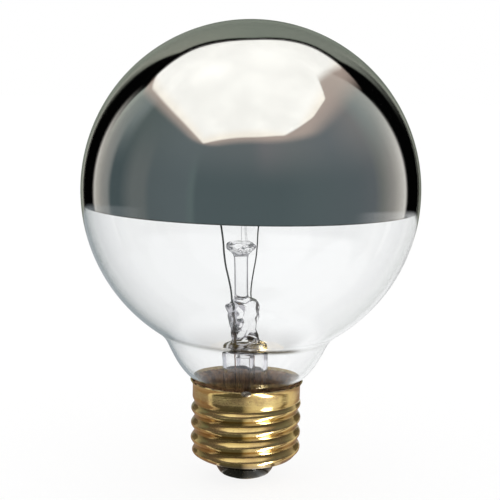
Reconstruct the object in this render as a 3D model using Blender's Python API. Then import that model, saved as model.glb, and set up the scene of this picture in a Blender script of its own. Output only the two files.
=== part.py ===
"""A silver crown globe lamp with a right-hand medium screw base, in metres.

The lamp stands on +Z. The origin is the flat tip of the solder on the centre contact, so
heights are measured from the point that presses on a lampholder's contact. The globe is
clear glass, mirrored inside from the crown to just below its widest part.
"""

import math

import bmesh
import bpy
from mathutils import Matrix, Vector
from mathutils.geometry import interpolate_bezier

# Clearance between pieces that are cemented, fused or soldered on the real lamp
GAP = 0.0003

# Globe and neck, one blown piece of glass
GLOBE_RADIUS = 0.0395
GLASS_WALL = 0.0007
NECK_HEIGHT = 0.0123
NECK_JOIN_ANGLE = math.radians(33.4)
NECK_FILLET_RADIUS = 0.0080
NECK_FLARE_ANGLE = math.radians(25.8)
NECK_MOUTH_ANGLE = math.radians(55)
NECK_CURL_DEPTH = 0.0038
NECK_TUBE_LENGTH = 0.0067
CEMENT_WALL = 0.0012

# Mirror on the inside of the crown
MIRROR_WALL = 0.0003
MIRROR_DROP = 0.0034

# Rolled screw shell
SHELL_WALL = 0.0003
SHELL_LENGTH = 0.0199
LIP_FLARE = 0.00057
LIP_HEIGHT = 0.0013
COLLAR_INSET = 0.0003
COLLAR_LENGTH = 0.0046
THREAD_PITCH = 0.0254 / 7
THREAD_CREST_RADIUS = 0.01315
THREAD_DEPTH = 0.00085
THREAD_LEAD_IN_TURNS = 0.146
THREAD_FADE = 0.0016
THREAD_ROWS_PER_TURN = 6
SHELL_SHOULDER_HEIGHT = 0.0034
SHELL_MOUTH_RADIUS = 0.0073

# Black glass insulator and the centre contact under it
INSULATOR_EXPOSED = 0.0030
INSULATOR_SEAT_HEIGHT = 0.0026
INSULATOR_BASE_RADIUS = 0.0053
INSULATOR_HOLE_RADIUS = 0.0014
CONTACT_RADIUS = 0.0044
CONTACT_THICKNESS = 0.0005
CONTACT_RECESS = 0.0003
CONTACT_HOLE_RADIUS = 0.0009
SOLDER_RADIUS = 0.0023
SOLDER_TIP_RADIUS = 0.0012
SOLDER_THICKNESS = 0.0004
SIDE_SOLDER_WIDTH = 0.0024
SIDE_SOLDER_DEPTH = 0.0008
SIDE_SOLDER_HEIGHT = 0.0013

# Basing cement between neck and shell
CEMENT_BELOW_RIM = 0.0018
CEMENT_SLOT_WIDTH = 0.0014

# Glass stem: flare, tube and press, fused as one piece
MOUNT_LEAN = math.radians(2.8)
LEAD_PLANE_TURN = math.radians(52)
FLARE_HEIGHT = 0.0075
FLARE_RIM_HEIGHT = 0.0008
STEM_TUBE_RADIUS = 0.0054
STEM_WALL = 0.0009
STEM_TUBE_LENGTH = 0.0093
PRESS_HEIGHT = 0.0124
PRESS_HALF_WIDTH = 0.0055
PRESS_HALF_THICKNESS = 0.0025
PRESS_ROOT_HEIGHT = 0.0020
OVAL_POWER = 2.4
VENT_BULGE_RADIUS = 0.0019
VENT_OFFSET = 0.0016
VENT_RADIUS = 0.0008
EXHAUST_RADIUS = 0.0020
EXHAUST_WALL = 0.0007

# Outside of the press, as shares of its half width, half thickness and height
PRESS_SHAPE_RATIO = [
    (0.90, 1.60, 0.06),
    (0.82, 0.95, 0.15),
    (0.81, 0.72, 0.26),
    (0.86, 0.84, 0.45),
    (0.97, 1.04, 0.68),
    (1.00, 1.02, 0.84),
    (0.88, 0.92, 0.95),
    (0.60, 0.80, 0.995),
]

# Solid glass rod and the button that holds the support wires
ROD_RADIUS = 0.0016
ROD_LENGTH = 0.0111
BUTTON_RADIUS = 0.00335
BUTTON_THICKNESS = 0.0026

# Lead-in wires, each welded up from three lengths
LEAD_RADIUS = 0.00025
SIDE_LEAD_RADIUS = 0.00016
LEAD_HALF_SPACING = 0.0036
LEAD_SPREAD = 0.0068
LEAD_INSERTION = 0.0020
LEAD_RUN_DOWN_RATIO = 0.85
SUPPORT_RADIUS = 0.00012
SUPPORT_COUNT = 3
SUPPORT_FOOT_RADIUS = 0.0016
SUPPORT_INSERTION = 0.0010

# Bends of the inner leads, as shares of their spread and of their rise above the press
LEAD_BEND_RATIO = [
    (0.00, 0.03),
    (0.09, 0.10),
    (0.33, 0.19),
    (0.64, 0.29),
    (0.82, 0.39),
    (1.00, 0.54),
]

# Coiled filament, drawn as a tube of its outer size
FILAMENT_RADIUS = 0.00035
FILAMENT_ARC_RADIUS = 0.0085
FILAMENT_HEIGHT = 0.0750
FILAMENT_TAIL_ANGLE = math.radians(6)

# Facets
SEGMENTS = 32
GLOBE_ROW_ANGLE = math.radians(10)
STEM_SEGMENTS = 24
ROD_SEGMENTS = 14
CONTACT_SEGMENTS = 20

# Radii and heights that follow from the sizes above
COLLAR_RADIUS = THREAD_CREST_RADIUS - COLLAR_INSET
THREAD_ROOT_RADIUS = THREAD_CREST_RADIUS - THREAD_DEPTH
CONTACT_BOTTOM = SOLDER_THICKNESS + GAP
RECESS_TOP = CONTACT_BOTTOM + CONTACT_THICKNESS + GAP
INSULATOR_BOTTOM = RECESS_TOP - CONTACT_RECESS
SHELL_END = INSULATOR_BOTTOM + INSULATOR_EXPOSED
INSULATOR_TOP = SHELL_END + INSULATOR_SEAT_HEIGHT
RIM = SHELL_END + SHELL_LENGTH
GLOBE_CENTRE = RIM + NECK_HEIGHT + GLOBE_RADIUS * math.cos(NECK_JOIN_ANGLE)
COLLAR_END = RIM - COLLAR_LENGTH
NECK_TUBE_RADIUS = THREAD_ROOT_RADIUS - SHELL_WALL - 2 * GAP - CEMENT_WALL
NECK_TUBE_TOP = RIM - NECK_CURL_DEPTH
NECK_END = NECK_TUBE_TOP - NECK_TUBE_LENGTH
EXHAUST_END = (NECK_END + INSULATOR_TOP) / 2
SEAL = NECK_END + FLARE_RIM_HEIGHT
FLARE_RADIUS = NECK_TUBE_RADIUS - GLASS_WALL - GAP
TUBE_BASE = FLARE_HEIGHT
PRESS_BASE = TUBE_BASE + STEM_TUBE_LENGTH
PRESS_TOP = PRESS_BASE + PRESS_HEIGHT
CAVITY_TOP = PRESS_BASE + 0.35 * PRESS_ROOT_HEIGHT
VENT_HEIGHT = PRESS_BASE + VENT_BULGE_RADIUS
ROD_BASE = PRESS_TOP + GAP
BUTTON_TOP = ROD_BASE + ROD_LENGTH + BUTTON_THICKNESS
FILAMENT_LOCAL_HEIGHT = FILAMENT_HEIGHT - SEAL

# Colours and surfaces: base colour, metallic, roughness, alpha
FINISHES = {
    "clear_glass": ((0.92, 0.95, 0.95), 0.0, 0.02, 0.22),
    "stem_glass": ((0.88, 0.92, 0.93), 0.0, 0.03, 0.35),
    "mirror": ((0.80, 0.81, 0.81), 1.0, 0.03, 1.0),
    "brass": ((0.78, 0.56, 0.22), 1.0, 0.25, 1.0),
    "black_glass": ((0.015, 0.014, 0.013), 0.0, 0.12, 1.0),
    "cement": ((0.22, 0.13, 0.06), 0.0, 0.85, 1.0),
    "solder": ((0.60, 0.60, 0.58), 1.0, 0.40, 1.0),
    "nickel": ((0.42, 0.41, 0.39), 1.0, 0.30, 1.0),
    "seal_wire": ((0.55, 0.20, 0.12), 1.0, 0.35, 1.0),
    "copper": ((0.72, 0.38, 0.22), 1.0, 0.32, 1.0),
    "molybdenum": ((0.50, 0.50, 0.52), 1.0, 0.35, 1.0),
    "tungsten": ((0.30, 0.30, 0.31), 1.0, 0.45, 1.0),
}


def clear_scene():
    """Remove every object that the scene holds."""
    for obj in list(bpy.data.objects):
        bpy.data.objects.remove(obj)


def material(name):
    """Return the named finish as a Principled material, made once."""
    found = bpy.data.materials.get(name)
    if found:
        return found
    colour, metallic, roughness, alpha = FINISHES[name]
    made = bpy.data.materials.new(name)
    made.use_nodes = True
    shader = made.node_tree.nodes["Principled BSDF"]
    shader.inputs["Base Color"].default_value = (*colour, 1.0)
    shader.inputs["Metallic"].default_value = metallic
    shader.inputs["Roughness"].default_value = roughness
    shader.inputs["Alpha"].default_value = alpha
    made.diffuse_color = (*colour, alpha)
    return made


def add_object(name, data, finish, parent=None):
    """Link an object that shows data in the named finish, under parent if there is one."""
    obj = bpy.data.objects.new(name, data)
    bpy.context.scene.collection.objects.link(obj)
    obj.data.materials.append(material(finish))
    obj.parent = parent
    return obj


def mesh_from_bmesh(name, bm):
    """Turn a bmesh into a mesh with outward normals and smooth shading."""
    bmesh.ops.recalc_face_normals(bm, faces=bm.faces[:])
    mesh = bpy.data.meshes.new(name)
    bm.to_mesh(mesh)
    bm.free()
    mesh.shade_smooth()
    mesh.set_sharp_from_angle(angle=math.radians(40))
    return mesh


def loft(name, rings, closed=False):
    """Skin rings of points. A ring of one point is a pole; closed joins the last to the first."""
    bm = bmesh.new()
    loops = [[bm.verts.new(point) for point in ring] for ring in rings]
    pairs = list(zip(loops, loops[1:]))
    if closed:
        pairs.append((loops[-1], loops[0]))
    for low, high in pairs:
        count = max(len(low), len(high))
        for i in range(count):
            j = (i + 1) % count
            if len(low) == 1:
                bm.faces.new((low[0], high[i], high[j]))
            elif len(high) == 1:
                bm.faces.new((low[i], low[j], high[0]))
            else:
                bm.faces.new((low[i], low[j], high[j], high[i]))
    return mesh_from_bmesh(name, bm)


def circle_ring(radius, height, segments):
    """Points of a level circle, or its centre alone where the radius is nothing."""
    if radius < 1e-9:
        return [Vector((0, 0, height))]
    angles = [2 * math.pi * i / segments for i in range(segments)]
    return [Vector((radius * math.cos(a), radius * math.sin(a), height)) for a in angles]


def revolve(name, outline, segments, closed=False):
    """Turn an outline of (radius, height) about Z. It ends on the axis or is closed."""
    return loft(name, [circle_ring(r, z, segments) for r, z in outline], closed)


def arc(centre, radius, start, end, steps):
    """Points of an arc in the outline plane, from one angle to another, both included."""
    angles = [start + (end - start) * i / steps for i in range(steps + 1)]
    return [
        (centre[0] + radius * math.cos(a), centre[1] + radius * math.sin(a))
        for a in angles
    ]


def bezier(start, start_handle, end_handle, end, steps):
    """Points of a cubic curve in the outline plane, without the first one."""
    knots = [Vector((*p, 0)) for p in (start, start_handle, end_handle, end)]
    return [(p.x, p.y) for p in interpolate_bezier(*knots, steps + 1)][1:]


def offset_outline(outline, distance):
    """Shift an outline sideways, to the left of its direction of travel."""
    shifted = []
    for i, (r, z) in enumerate(outline):
        before = Vector(outline[max(i - 1, 0)])
        after = Vector(outline[min(i + 1, len(outline) - 1)])
        along = (after - before).normalized()
        shifted.append((r - along.y * distance, z + along.x * distance))
    return shifted


def apply_helpers(obj, helpers, operation="DIFFERENCE"):
    """Cut hidden helper solids out of an object, or join them to it, and keep the result."""
    for helper in helpers:
        step = obj.modifiers.new(helper.name, "BOOLEAN")
        step.operation = operation
        step.solver = "EXACT"
        step.object = helper
    bpy.context.view_layer.update()
    graph = bpy.context.evaluated_depsgraph_get()
    result = bpy.data.meshes.new_from_object(obj.evaluated_get(graph))
    obj.modifiers.clear()
    obj.data = result
    for helper in helpers:
        bpy.data.objects.remove(helper)


def add_helper(name, mesh, parent=None):
    """Link a solid that only shapes another one, as a wireframe that isn't rendered."""
    obj = bpy.data.objects.new(name, mesh)
    bpy.context.scene.collection.objects.link(obj)
    obj.hide_render = True
    obj.display_type = "WIRE"
    obj.parent = parent
    return obj


def rod_cutter(name, start, end, radius, segments, parent=None):
    """A hidden cylinder from one point to another, for cutting a bore."""
    start, end = Vector(start), Vector(end)
    bm = bmesh.new()
    bmesh.ops.create_cone(
        bm,
        cap_ends=True,
        segments=segments,
        radius1=radius,
        radius2=radius,
        depth=(end - start).length,
    )
    turn = Vector((0, 0, 1)).rotation_difference(end - start).to_matrix().to_4x4()
    place = Matrix.Translation((start + end) / 2) @ turn
    bmesh.ops.transform(bm, matrix=place, verts=bm.verts[:])
    return add_helper(name, mesh_from_bmesh(name, bm), parent)


def wire(name, points, radius, finish, parent=None, sides=6):
    """A round wire along points, with flat ends."""
    curve = bpy.data.curves.new(name, "CURVE")
    curve.dimensions = "3D"
    curve.bevel_depth = radius
    curve.bevel_resolution = (sides - 4) // 2
    curve.use_fill_caps = True
    spline = curve.splines.new("POLY")
    spline.points.add(len(points) - 1)
    for knot, point in zip(spline.points, points):
        knot.co = (*point, 1.0)
    return add_object(name, curve, finish, parent)


def smooth_path(knots, steps):
    """Points of a smooth curve through the knots, with steps between each two."""
    knots = [Vector(k) for k in knots]
    slopes = [
        (knots[min(i + 1, len(knots) - 1)] - knots[max(i - 1, 0)]) / 2
        for i in range(len(knots))
    ]
    path = [knots[0]]
    for i in range(len(knots) - 1):
        first, last = knots[i], knots[i + 1]
        handles = first + slopes[i] / 3, last - slopes[i + 1] / 3
        path += interpolate_bezier(first, *handles, last, steps + 1)[1:]
    return path


def hook(direction, centre_radius, height, bend_radius, steps):
    """Half a turn of wire over the filament, from its outer side to its inner side."""
    points = []
    for i in range(steps + 1):
        angle = math.pi * i / steps
        radius = centre_radius + bend_radius * math.cos(angle)
        points.append(direction * radius + Vector((0, 0, height + bend_radius * math.sin(angle))))
    return points


def lip_inner_radius():
    """Radius of the shell's opening at its rim."""
    return COLLAR_RADIUS + LIP_FLARE - SHELL_WALL


def sphere_outline(radius, last):
    """Outline of a sphere from its crown to an angle past its equator, with a row at both."""
    upper = math.ceil(math.pi / 2 / GLOBE_ROW_ANGLE)
    lower = math.ceil((last - math.pi / 2) / GLOBE_ROW_ANGLE)
    centre = (0, GLOBE_CENTRE)
    crown = [(0, GLOBE_CENTRE + radius)]
    above = arc(centre, radius, math.pi / 2, 0, upper)[1:]
    below = arc(centre, radius, 0, math.pi / 2 - last, lower)[1:]
    return crown + above + below


def globe_outline(radius, fillet_radius, wall_offset):
    """Outer or inner outline of the blown glass, from the crown down to the neck's end.

    The fillet where the globe meets the neck turns about the same centre on both sides
    of the wall, so the wall keeps its thickness.
    """
    outline = sphere_outline(radius, math.pi - NECK_JOIN_ANGLE)
    reach = radius + fillet_radius
    centre = (
        reach * math.sin(NECK_JOIN_ANGLE),
        GLOBE_CENTRE - reach * math.cos(NECK_JOIN_ANGLE),
    )
    start = math.pi / 2 + NECK_JOIN_ANGLE
    outline += arc(centre, fillet_radius, start, math.pi - NECK_FLARE_ANGLE, 3)[1:]
    waist = outline[-1]
    lip_room = lip_inner_radius() - 2 * SIDE_LEAD_RADIUS - 2 * GAP
    across = Vector((math.sin(NECK_MOUTH_ANGLE), math.cos(NECK_MOUTH_ANGLE)))
    mouth = Vector((lip_room, RIM)) + wall_offset * Vector((-across.y, across.x))
    tube_top = Vector((NECK_TUBE_RADIUS - wall_offset, NECK_TUBE_TOP))
    fall = waist[1] - mouth.y
    start_handle = (
        waist[0] - 0.38 * fall * math.tan(NECK_FLARE_ANGLE),
        waist[1] - 0.38 * fall,
    )
    outline += bezier(waist, start_handle, mouth + 0.48 * fall * across, mouth, 4)
    curl = (mouth.y - tube_top.y) / 2.4
    top_handle = tube_top + Vector((0, curl))
    outline += bezier(mouth, mouth - curl * across, top_handle, tube_top, 3)
    outline.append((tube_top[0], NECK_END))
    return outline


def build_globe():
    """Blown glass bulb: globe, neck and the tube that the stem is sealed into."""
    outer = globe_outline(GLOBE_RADIUS, NECK_FILLET_RADIUS, 0)
    inner = globe_outline(
        GLOBE_RADIUS - GLASS_WALL, NECK_FILLET_RADIUS + GLASS_WALL, GLASS_WALL
    )
    mesh = revolve("glass_bulb", outer + inner[::-1], SEGMENTS)
    return add_object("glass_bulb", mesh, "clear_glass")


def build_mirror():
    """Mirror film inside the crown, down to a level edge below the equator."""
    outer_radius = GLOBE_RADIUS - GLASS_WALL - GAP
    inner_radius = outer_radius - MIRROR_WALL
    outer = sphere_outline(outer_radius, math.pi / 2 + math.asin(MIRROR_DROP / outer_radius))
    inner = sphere_outline(inner_radius, math.pi / 2 + math.asin(MIRROR_DROP / inner_radius))
    mesh = revolve("mirror_crown", outer + inner[::-1], SEGMENTS)
    return add_object("mirror_crown", mesh, "mirror")


def lip_outline():
    """Outer skin of the flared lip, from the rim down to the plain collar."""
    lip = bezier(
        (COLLAR_RADIUS + LIP_FLARE, RIM),
        (COLLAR_RADIUS + 0.5 * LIP_FLARE, RIM - 0.3 * LIP_HEIGHT),
        (COLLAR_RADIUS, RIM - 0.6 * LIP_HEIGHT),
        (COLLAR_RADIUS, RIM - LIP_HEIGHT),
        3,
    )
    return [(COLLAR_RADIUS + LIP_FLARE, RIM), *lip]


def shell_stations():
    """Skin of the screw shell without its thread: (radius, height) from rim to lower end."""
    stations = lip_outline()
    mean_radius = (THREAD_CREST_RADIUS + THREAD_ROOT_RADIUS) / 2
    thread_bottom = SHELL_END + SHELL_SHOULDER_HEIGHT
    fade_top = COLLAR_END + THREAD_FADE / 2
    rows = math.ceil((fade_top - thread_bottom) / (THREAD_PITCH / THREAD_ROWS_PER_TURN))
    for i in range(rows + 1):
        height = fade_top + (thread_bottom - fade_top) * i / rows
        share = min(1.0, (fade_top - height) / THREAD_FADE)
        stations.append((COLLAR_RADIUS + (mean_radius - COLLAR_RADIUS) * share, height))
    stations += taper_outline()
    return stations


def taper_outline():
    """Rounded taper under the thread, down to the shell's lower end."""
    start = (
        (THREAD_CREST_RADIUS + THREAD_ROOT_RADIUS) / 2,
        SHELL_END + SHELL_SHOULDER_HEIGHT,
    )
    end = (SHELL_MOUTH_RADIUS, SHELL_END)
    width = start[0] - end[0]
    return bezier(
        start,
        (start[0], start[1] - 0.62 * SHELL_SHOULDER_HEIGHT),
        (end[0] + 0.50 * width, end[1] + 0.30 * SHELL_SHOULDER_HEIGHT),
        end,
        5,
    )


def thread_depth(height, angle):
    """How far the rolled thread stands out of the mean skin at a height and angle."""
    amplitude = (THREAD_CREST_RADIUS - THREAD_ROOT_RADIUS) / 2
    top_share = (COLLAR_END + THREAD_FADE / 2 - height) / THREAD_FADE
    low_share = (height - SHELL_END - 0.4 * SHELL_SHOULDER_HEIGHT) / THREAD_FADE
    share = max(0.0, min(1.0, top_share, low_share))
    turns = (height - COLLAR_END) / THREAD_PITCH - angle / (2 * math.pi)
    return amplitude * share * math.cos(2 * math.pi * (turns + THREAD_LEAD_IN_TURNS))


def build_screw_shell():
    """Brass shell rolled from one sheet, with its right-hand knuckle thread on both faces."""
    stations = shell_stations()
    inner = offset_outline(stations, -SHELL_WALL)
    angles = [2 * math.pi * i / SEGMENTS for i in range(SEGMENTS)]

    def ring(point, height):
        radii = [point[0] + thread_depth(height, a) for a in angles]
        return [
            Vector((r * math.cos(a), r * math.sin(a), point[1]))
            for r, a in zip(radii, angles)
        ]

    outer_rings = [ring(p, p[1]) for p in stations]
    inner_rings = [ring(p, skin[1]) for p, skin in zip(inner, stations)]
    mesh = loft("screw_shell", outer_rings + inner_rings[::-1], closed=True)
    return add_object("screw_shell", mesh, "brass")


def build_insulator():
    """Black glass in the shell's lower end, recessed for the contact and bored for a lead."""
    taper = taper_outline()
    under_shell = offset_outline(taper, -SHELL_WALL - GAP)
    seated = [p for p in under_shell if p[1] < INSULATOR_TOP - GAP]
    waist_radius = min(p[0] for p in offset_outline(taper, -SHELL_WALL)) - GAP
    seated = [p for p in seated if p[0] > waist_radius]
    flange_height = SHELL_END - GAP
    skirt = bezier(
        (SHELL_MOUTH_RADIUS - 0.5 * GAP, flange_height),
        (SHELL_MOUTH_RADIUS - 1.5 * GAP, flange_height - 0.45 * INSULATOR_EXPOSED),
        (0.65 * INSULATOR_BASE_RADIUS + 0.35 * SHELL_MOUTH_RADIUS, INSULATOR_BOTTOM),
        (INSULATOR_BASE_RADIUS, INSULATOR_BOTTOM),
        4,
    )
    outline = [
        (INSULATOR_HOLE_RADIUS, INSULATOR_TOP),
        (seated[0][0], INSULATOR_TOP),
        *seated,
        (waist_radius, seated[-1][1]),
        (waist_radius, flange_height),
        (SHELL_MOUTH_RADIUS - 0.5 * GAP, flange_height),
        *skirt,
        (CONTACT_RADIUS + GAP, INSULATOR_BOTTOM),
        (CONTACT_RADIUS + GAP, RECESS_TOP),
        (INSULATOR_HOLE_RADIUS, RECESS_TOP),
    ]
    mesh = revolve("base_insulator", outline, SEGMENTS, closed=True)
    return add_object("base_insulator", mesh, "black_glass")


def build_contact():
    """Centre contact disc and the flattened dome of solder that closes its hole."""
    top = CONTACT_BOTTOM + CONTACT_THICKNESS
    edge = CONTACT_THICKNESS / 2
    disc = [
        (CONTACT_HOLE_RADIUS, CONTACT_BOTTOM),
        (CONTACT_RADIUS - edge, CONTACT_BOTTOM),
        (CONTACT_RADIUS, CONTACT_BOTTOM + edge),
        (CONTACT_RADIUS, top),
        (CONTACT_HOLE_RADIUS, top),
    ]
    mesh = revolve("centre_contact", disc, CONTACT_SEGMENTS, closed=True)
    add_object("centre_contact", mesh, "brass")
    dome = bezier(
        (SOLDER_TIP_RADIUS, 0),
        (SOLDER_TIP_RADIUS + 0.55 * (SOLDER_RADIUS - SOLDER_TIP_RADIUS), 0),
        (SOLDER_RADIUS, 0.35 * SOLDER_THICKNESS),
        (SOLDER_RADIUS, SOLDER_THICKNESS),
        4,
    )
    outline = [(0, 0), (SOLDER_TIP_RADIUS, 0), *dome, (0, SOLDER_THICKNESS)]
    mesh = revolve("contact_solder", outline, CONTACT_SEGMENTS)
    add_object("contact_solder", mesh, "solder")


def build_cement():
    """Ring of basing cement between the neck tube and the shell, slotted for the side lead."""
    glass = globe_outline(GLOBE_RADIUS, NECK_FILLET_RADIUS, 0)
    top = RIM - CEMENT_BELOW_RIM
    below = [p for p in glass if p[1] < top]
    inner = offset_outline(below, GAP)
    inner = [(r, min(z, top)) for r, z in inner]
    inner[-1] = (NECK_TUBE_RADIUS + GAP, NECK_END)
    root = THREAD_ROOT_RADIUS - SHELL_WALL - GAP
    collar = COLLAR_RADIUS - SHELL_WALL - GAP
    collar_foot = COLLAR_END + THREAD_FADE / 2 + GAP
    outline = [
        (root, NECK_END),
        (root, collar_foot - (collar - root)),
        (collar, collar_foot),
        (collar, top),
        *inner,
    ]
    mesh = revolve("base_cement", outline, SEGMENTS, closed=True)
    ring = add_object("base_cement", mesh, "cement")
    apply_helpers(ring, [add_helper("cement_slot", side_slot_mesh())])
    return ring


def side_slot_mesh():
    """Block that opens the cement at the front, taller and deeper than the ring."""
    bm = bmesh.new()
    bmesh.ops.create_cube(bm, size=1.0)
    depth = COLLAR_RADIUS
    size = Matrix.Diagonal((CEMENT_SLOT_WIDTH, depth, 2 * SHELL_LENGTH, 1.0))
    place = Matrix.Translation((0, -NECK_TUBE_RADIUS + GAP - depth / 2, RIM - SHELL_LENGTH / 2))
    bmesh.ops.transform(bm, matrix=place @ size, verts=bm.verts[:])
    return mesh_from_bmesh("cement_slot", bm)


def mount_axis():
    """Empty at the seal that carries the stem, its wires and the filament, leaning a little."""
    empty = bpy.data.objects.new("mount_axis", None)
    bpy.context.scene.collection.objects.link(empty)
    empty.location = (0, 0, SEAL)
    empty.rotation_mode = "ZYX"
    empty.rotation_euler = (0, -MOUNT_LEAN, LEAD_PLANE_TURN)
    return empty


def oval_ring(half_width, half_thickness, height, segments):
    """Points of a rounded oval, or its centre alone where it has no width."""
    if half_width < 1e-9:
        return [Vector((0, 0, height))]
    power = OVAL_POWER if half_thickness < half_width else 2.0
    points = []
    for i in range(segments):
        a = 2 * math.pi * i / segments
        c, s = math.cos(a), math.sin(a)
        swell = (abs(c) ** power + abs(s) ** power) ** (-1 / power)
        points.append(Vector((half_width * c * swell, half_thickness * s * swell, height)))
    return points


def build_stem(mount):
    """Flare, tube and pinched press in one piece, bored for the wires and the exhaust."""
    flare_rim = -FLARE_RIM_HEIGHT / 2
    inner_radius = STEM_TUBE_RADIUS - STEM_WALL
    flare_edge = FLARE_RADIUS * math.cos(MOUNT_LEAN) - STEM_WALL * math.sin(MOUNT_LEAN)
    outside = [(flare_edge, flare_edge, flare_rim), (flare_edge, flare_edge, flare_rim + STEM_WALL)]
    flare_curve = bezier(
        (flare_edge, flare_rim + STEM_WALL),
        (flare_edge - 0.55 * (flare_edge - STEM_TUBE_RADIUS), flare_rim + STEM_WALL),
        (STEM_TUBE_RADIUS, 0.35 * FLARE_HEIGHT),
        (STEM_TUBE_RADIUS, TUBE_BASE),
        4,
    )
    outside += [(r, r, z) for r, z in flare_curve]
    outside.append((STEM_TUBE_RADIUS, STEM_TUBE_RADIUS, PRESS_BASE - 0.3 * PRESS_ROOT_HEIGHT))
    outside += [
        (PRESS_HALF_WIDTH * w, PRESS_HALF_THICKNESS * t, PRESS_BASE + PRESS_HEIGHT * h)
        for w, t, h in PRESS_SHAPE_RATIO
    ]
    outside.append((1.2 * ROD_RADIUS, 1.1 * ROD_RADIUS, PRESS_TOP))
    outside.append((0, 0, PRESS_TOP))
    inside = [
        (0, 0, CAVITY_TOP),
        (0.55 * inner_radius, 0.45 * inner_radius, CAVITY_TOP),
        (0.90 * inner_radius, 0.80 * inner_radius, CAVITY_TOP - 0.4 * PRESS_ROOT_HEIGHT),
        (inner_radius, inner_radius, PRESS_BASE - 0.6 * PRESS_ROOT_HEIGHT),
        (inner_radius, inner_radius, TUBE_BASE),
    ]
    inner_curve = bezier(
        (inner_radius, TUBE_BASE),
        (inner_radius, 0.35 * FLARE_HEIGHT - STEM_WALL),
        (flare_edge - 0.60 * (flare_edge - inner_radius), flare_rim),
        (flare_edge - STEM_WALL, flare_rim),
        4,
    )
    inside += [(r, r, z) for r, z in inner_curve]
    rings = [oval_ring(w, t, h, STEM_SEGMENTS) for w, t, h in outside[::-1] + inside[::-1]]
    stem = add_object("stem_tube", loft("stem_tube", rings), "stem_glass", mount)
    bulge_mesh = ball_mesh("vent_bulge", (0, -VENT_OFFSET, VENT_HEIGHT), VENT_BULGE_RADIUS)
    apply_helpers(stem, [add_helper("vent_bulge", bulge_mesh, mount)], "UNION")
    bores = []
    for side in (-1, 1):
        x = side * LEAD_HALF_SPACING
        low = (x, 0, PRESS_BASE - PRESS_ROOT_HEIGHT)
        high = (x, 0, PRESS_TOP + PRESS_ROOT_HEIGHT)
        bores.append(rod_cutter(f"lead_bore_{side}", low, high, LEAD_RADIUS + GAP, 8, mount))
    outlet = (0, -VENT_OFFSET - 2 * VENT_BULGE_RADIUS, VENT_HEIGHT + VENT_BULGE_RADIUS)
    inlet = (0, 0, CAVITY_TOP - VENT_RADIUS)
    bores.append(rod_cutter("vent_bore", inlet, outlet, VENT_RADIUS, 10, mount))
    apply_helpers(stem, bores)
    return stem


def ball_mesh(name, centre, radius):
    """Mesh of a ball."""
    bm = bmesh.new()
    bmesh.ops.create_uvsphere(bm, u_segments=16, v_segments=8, radius=radius)
    bmesh.ops.translate(bm, vec=centre, verts=bm.verts[:])
    return mesh_from_bmesh(name, bm)


def build_exhaust(mount):
    """Exhaust tube inside the stem, melted shut to a point below the flare."""
    top = CAVITY_TOP - 0.4 * PRESS_ROOT_HEIGHT - GAP
    low = (EXHAUST_END - SEAL) / math.cos(MOUNT_LEAN)
    shoulder = low + 2 * EXHAUST_RADIUS
    bore = EXHAUST_RADIUS - EXHAUST_WALL
    outline = [
        (0, low),
        (0.45 * EXHAUST_RADIUS, low + 0.35 * EXHAUST_RADIUS),
        (EXHAUST_RADIUS, shoulder),
        (EXHAUST_RADIUS, top),
        (bore, top),
        (bore, shoulder),
        (0.4 * bore, low + EXHAUST_RADIUS),
        (0, low + EXHAUST_RADIUS),
    ]
    mesh = revolve("exhaust_tube", outline, ROD_SEGMENTS)
    return add_object("exhaust_tube", mesh, "stem_glass", mount)


def build_rod(mount):
    """Solid glass rod that rises from the press to a flattened button."""
    button_base = BUTTON_TOP - BUTTON_THICKNESS
    neck = ROD_RADIUS + 0.25 * (BUTTON_RADIUS - ROD_RADIUS)
    outline = [
        (0, ROD_BASE),
        (ROD_RADIUS, ROD_BASE),
        (ROD_RADIUS, button_base - 0.2 * BUTTON_THICKNESS),
        (neck, button_base + 0.1 * BUTTON_THICKNESS),
        (0.86 * BUTTON_RADIUS, button_base + 0.35 * BUTTON_THICKNESS),
        (BUTTON_RADIUS, button_base + 0.60 * BUTTON_THICKNESS),
        (0.90 * BUTTON_RADIUS, button_base + 0.88 * BUTTON_THICKNESS),
        (0.60 * BUTTON_RADIUS, BUTTON_TOP),
        (0, BUTTON_TOP),
    ]
    mesh = revolve("stem_rod", outline, ROD_SEGMENTS)
    rod = add_object("stem_rod", mesh, "stem_glass", mount)
    cutters = []
    for i, direction in enumerate(support_directions()):
        foot = direction * SUPPORT_FOOT_RADIUS
        low = foot + Vector((0, 0, BUTTON_TOP - SUPPORT_INSERTION - GAP))
        high = foot + Vector((0, 0, BUTTON_TOP + BUTTON_THICKNESS))
        cutters.append(rod_cutter(f"support_bore_{i}", low, high, SUPPORT_RADIUS + GAP, 6, mount))
    apply_helpers(rod, cutters)
    return rod


def support_directions():
    """Level directions of the supports, spaced along the filament's half circle."""
    directions = []
    for i in range(SUPPORT_COUNT):
        angle = -math.pi * (i + 1) / (SUPPORT_COUNT + 1)
        directions.append(Vector((math.cos(angle), math.sin(angle), 0)))
    return directions


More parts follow.
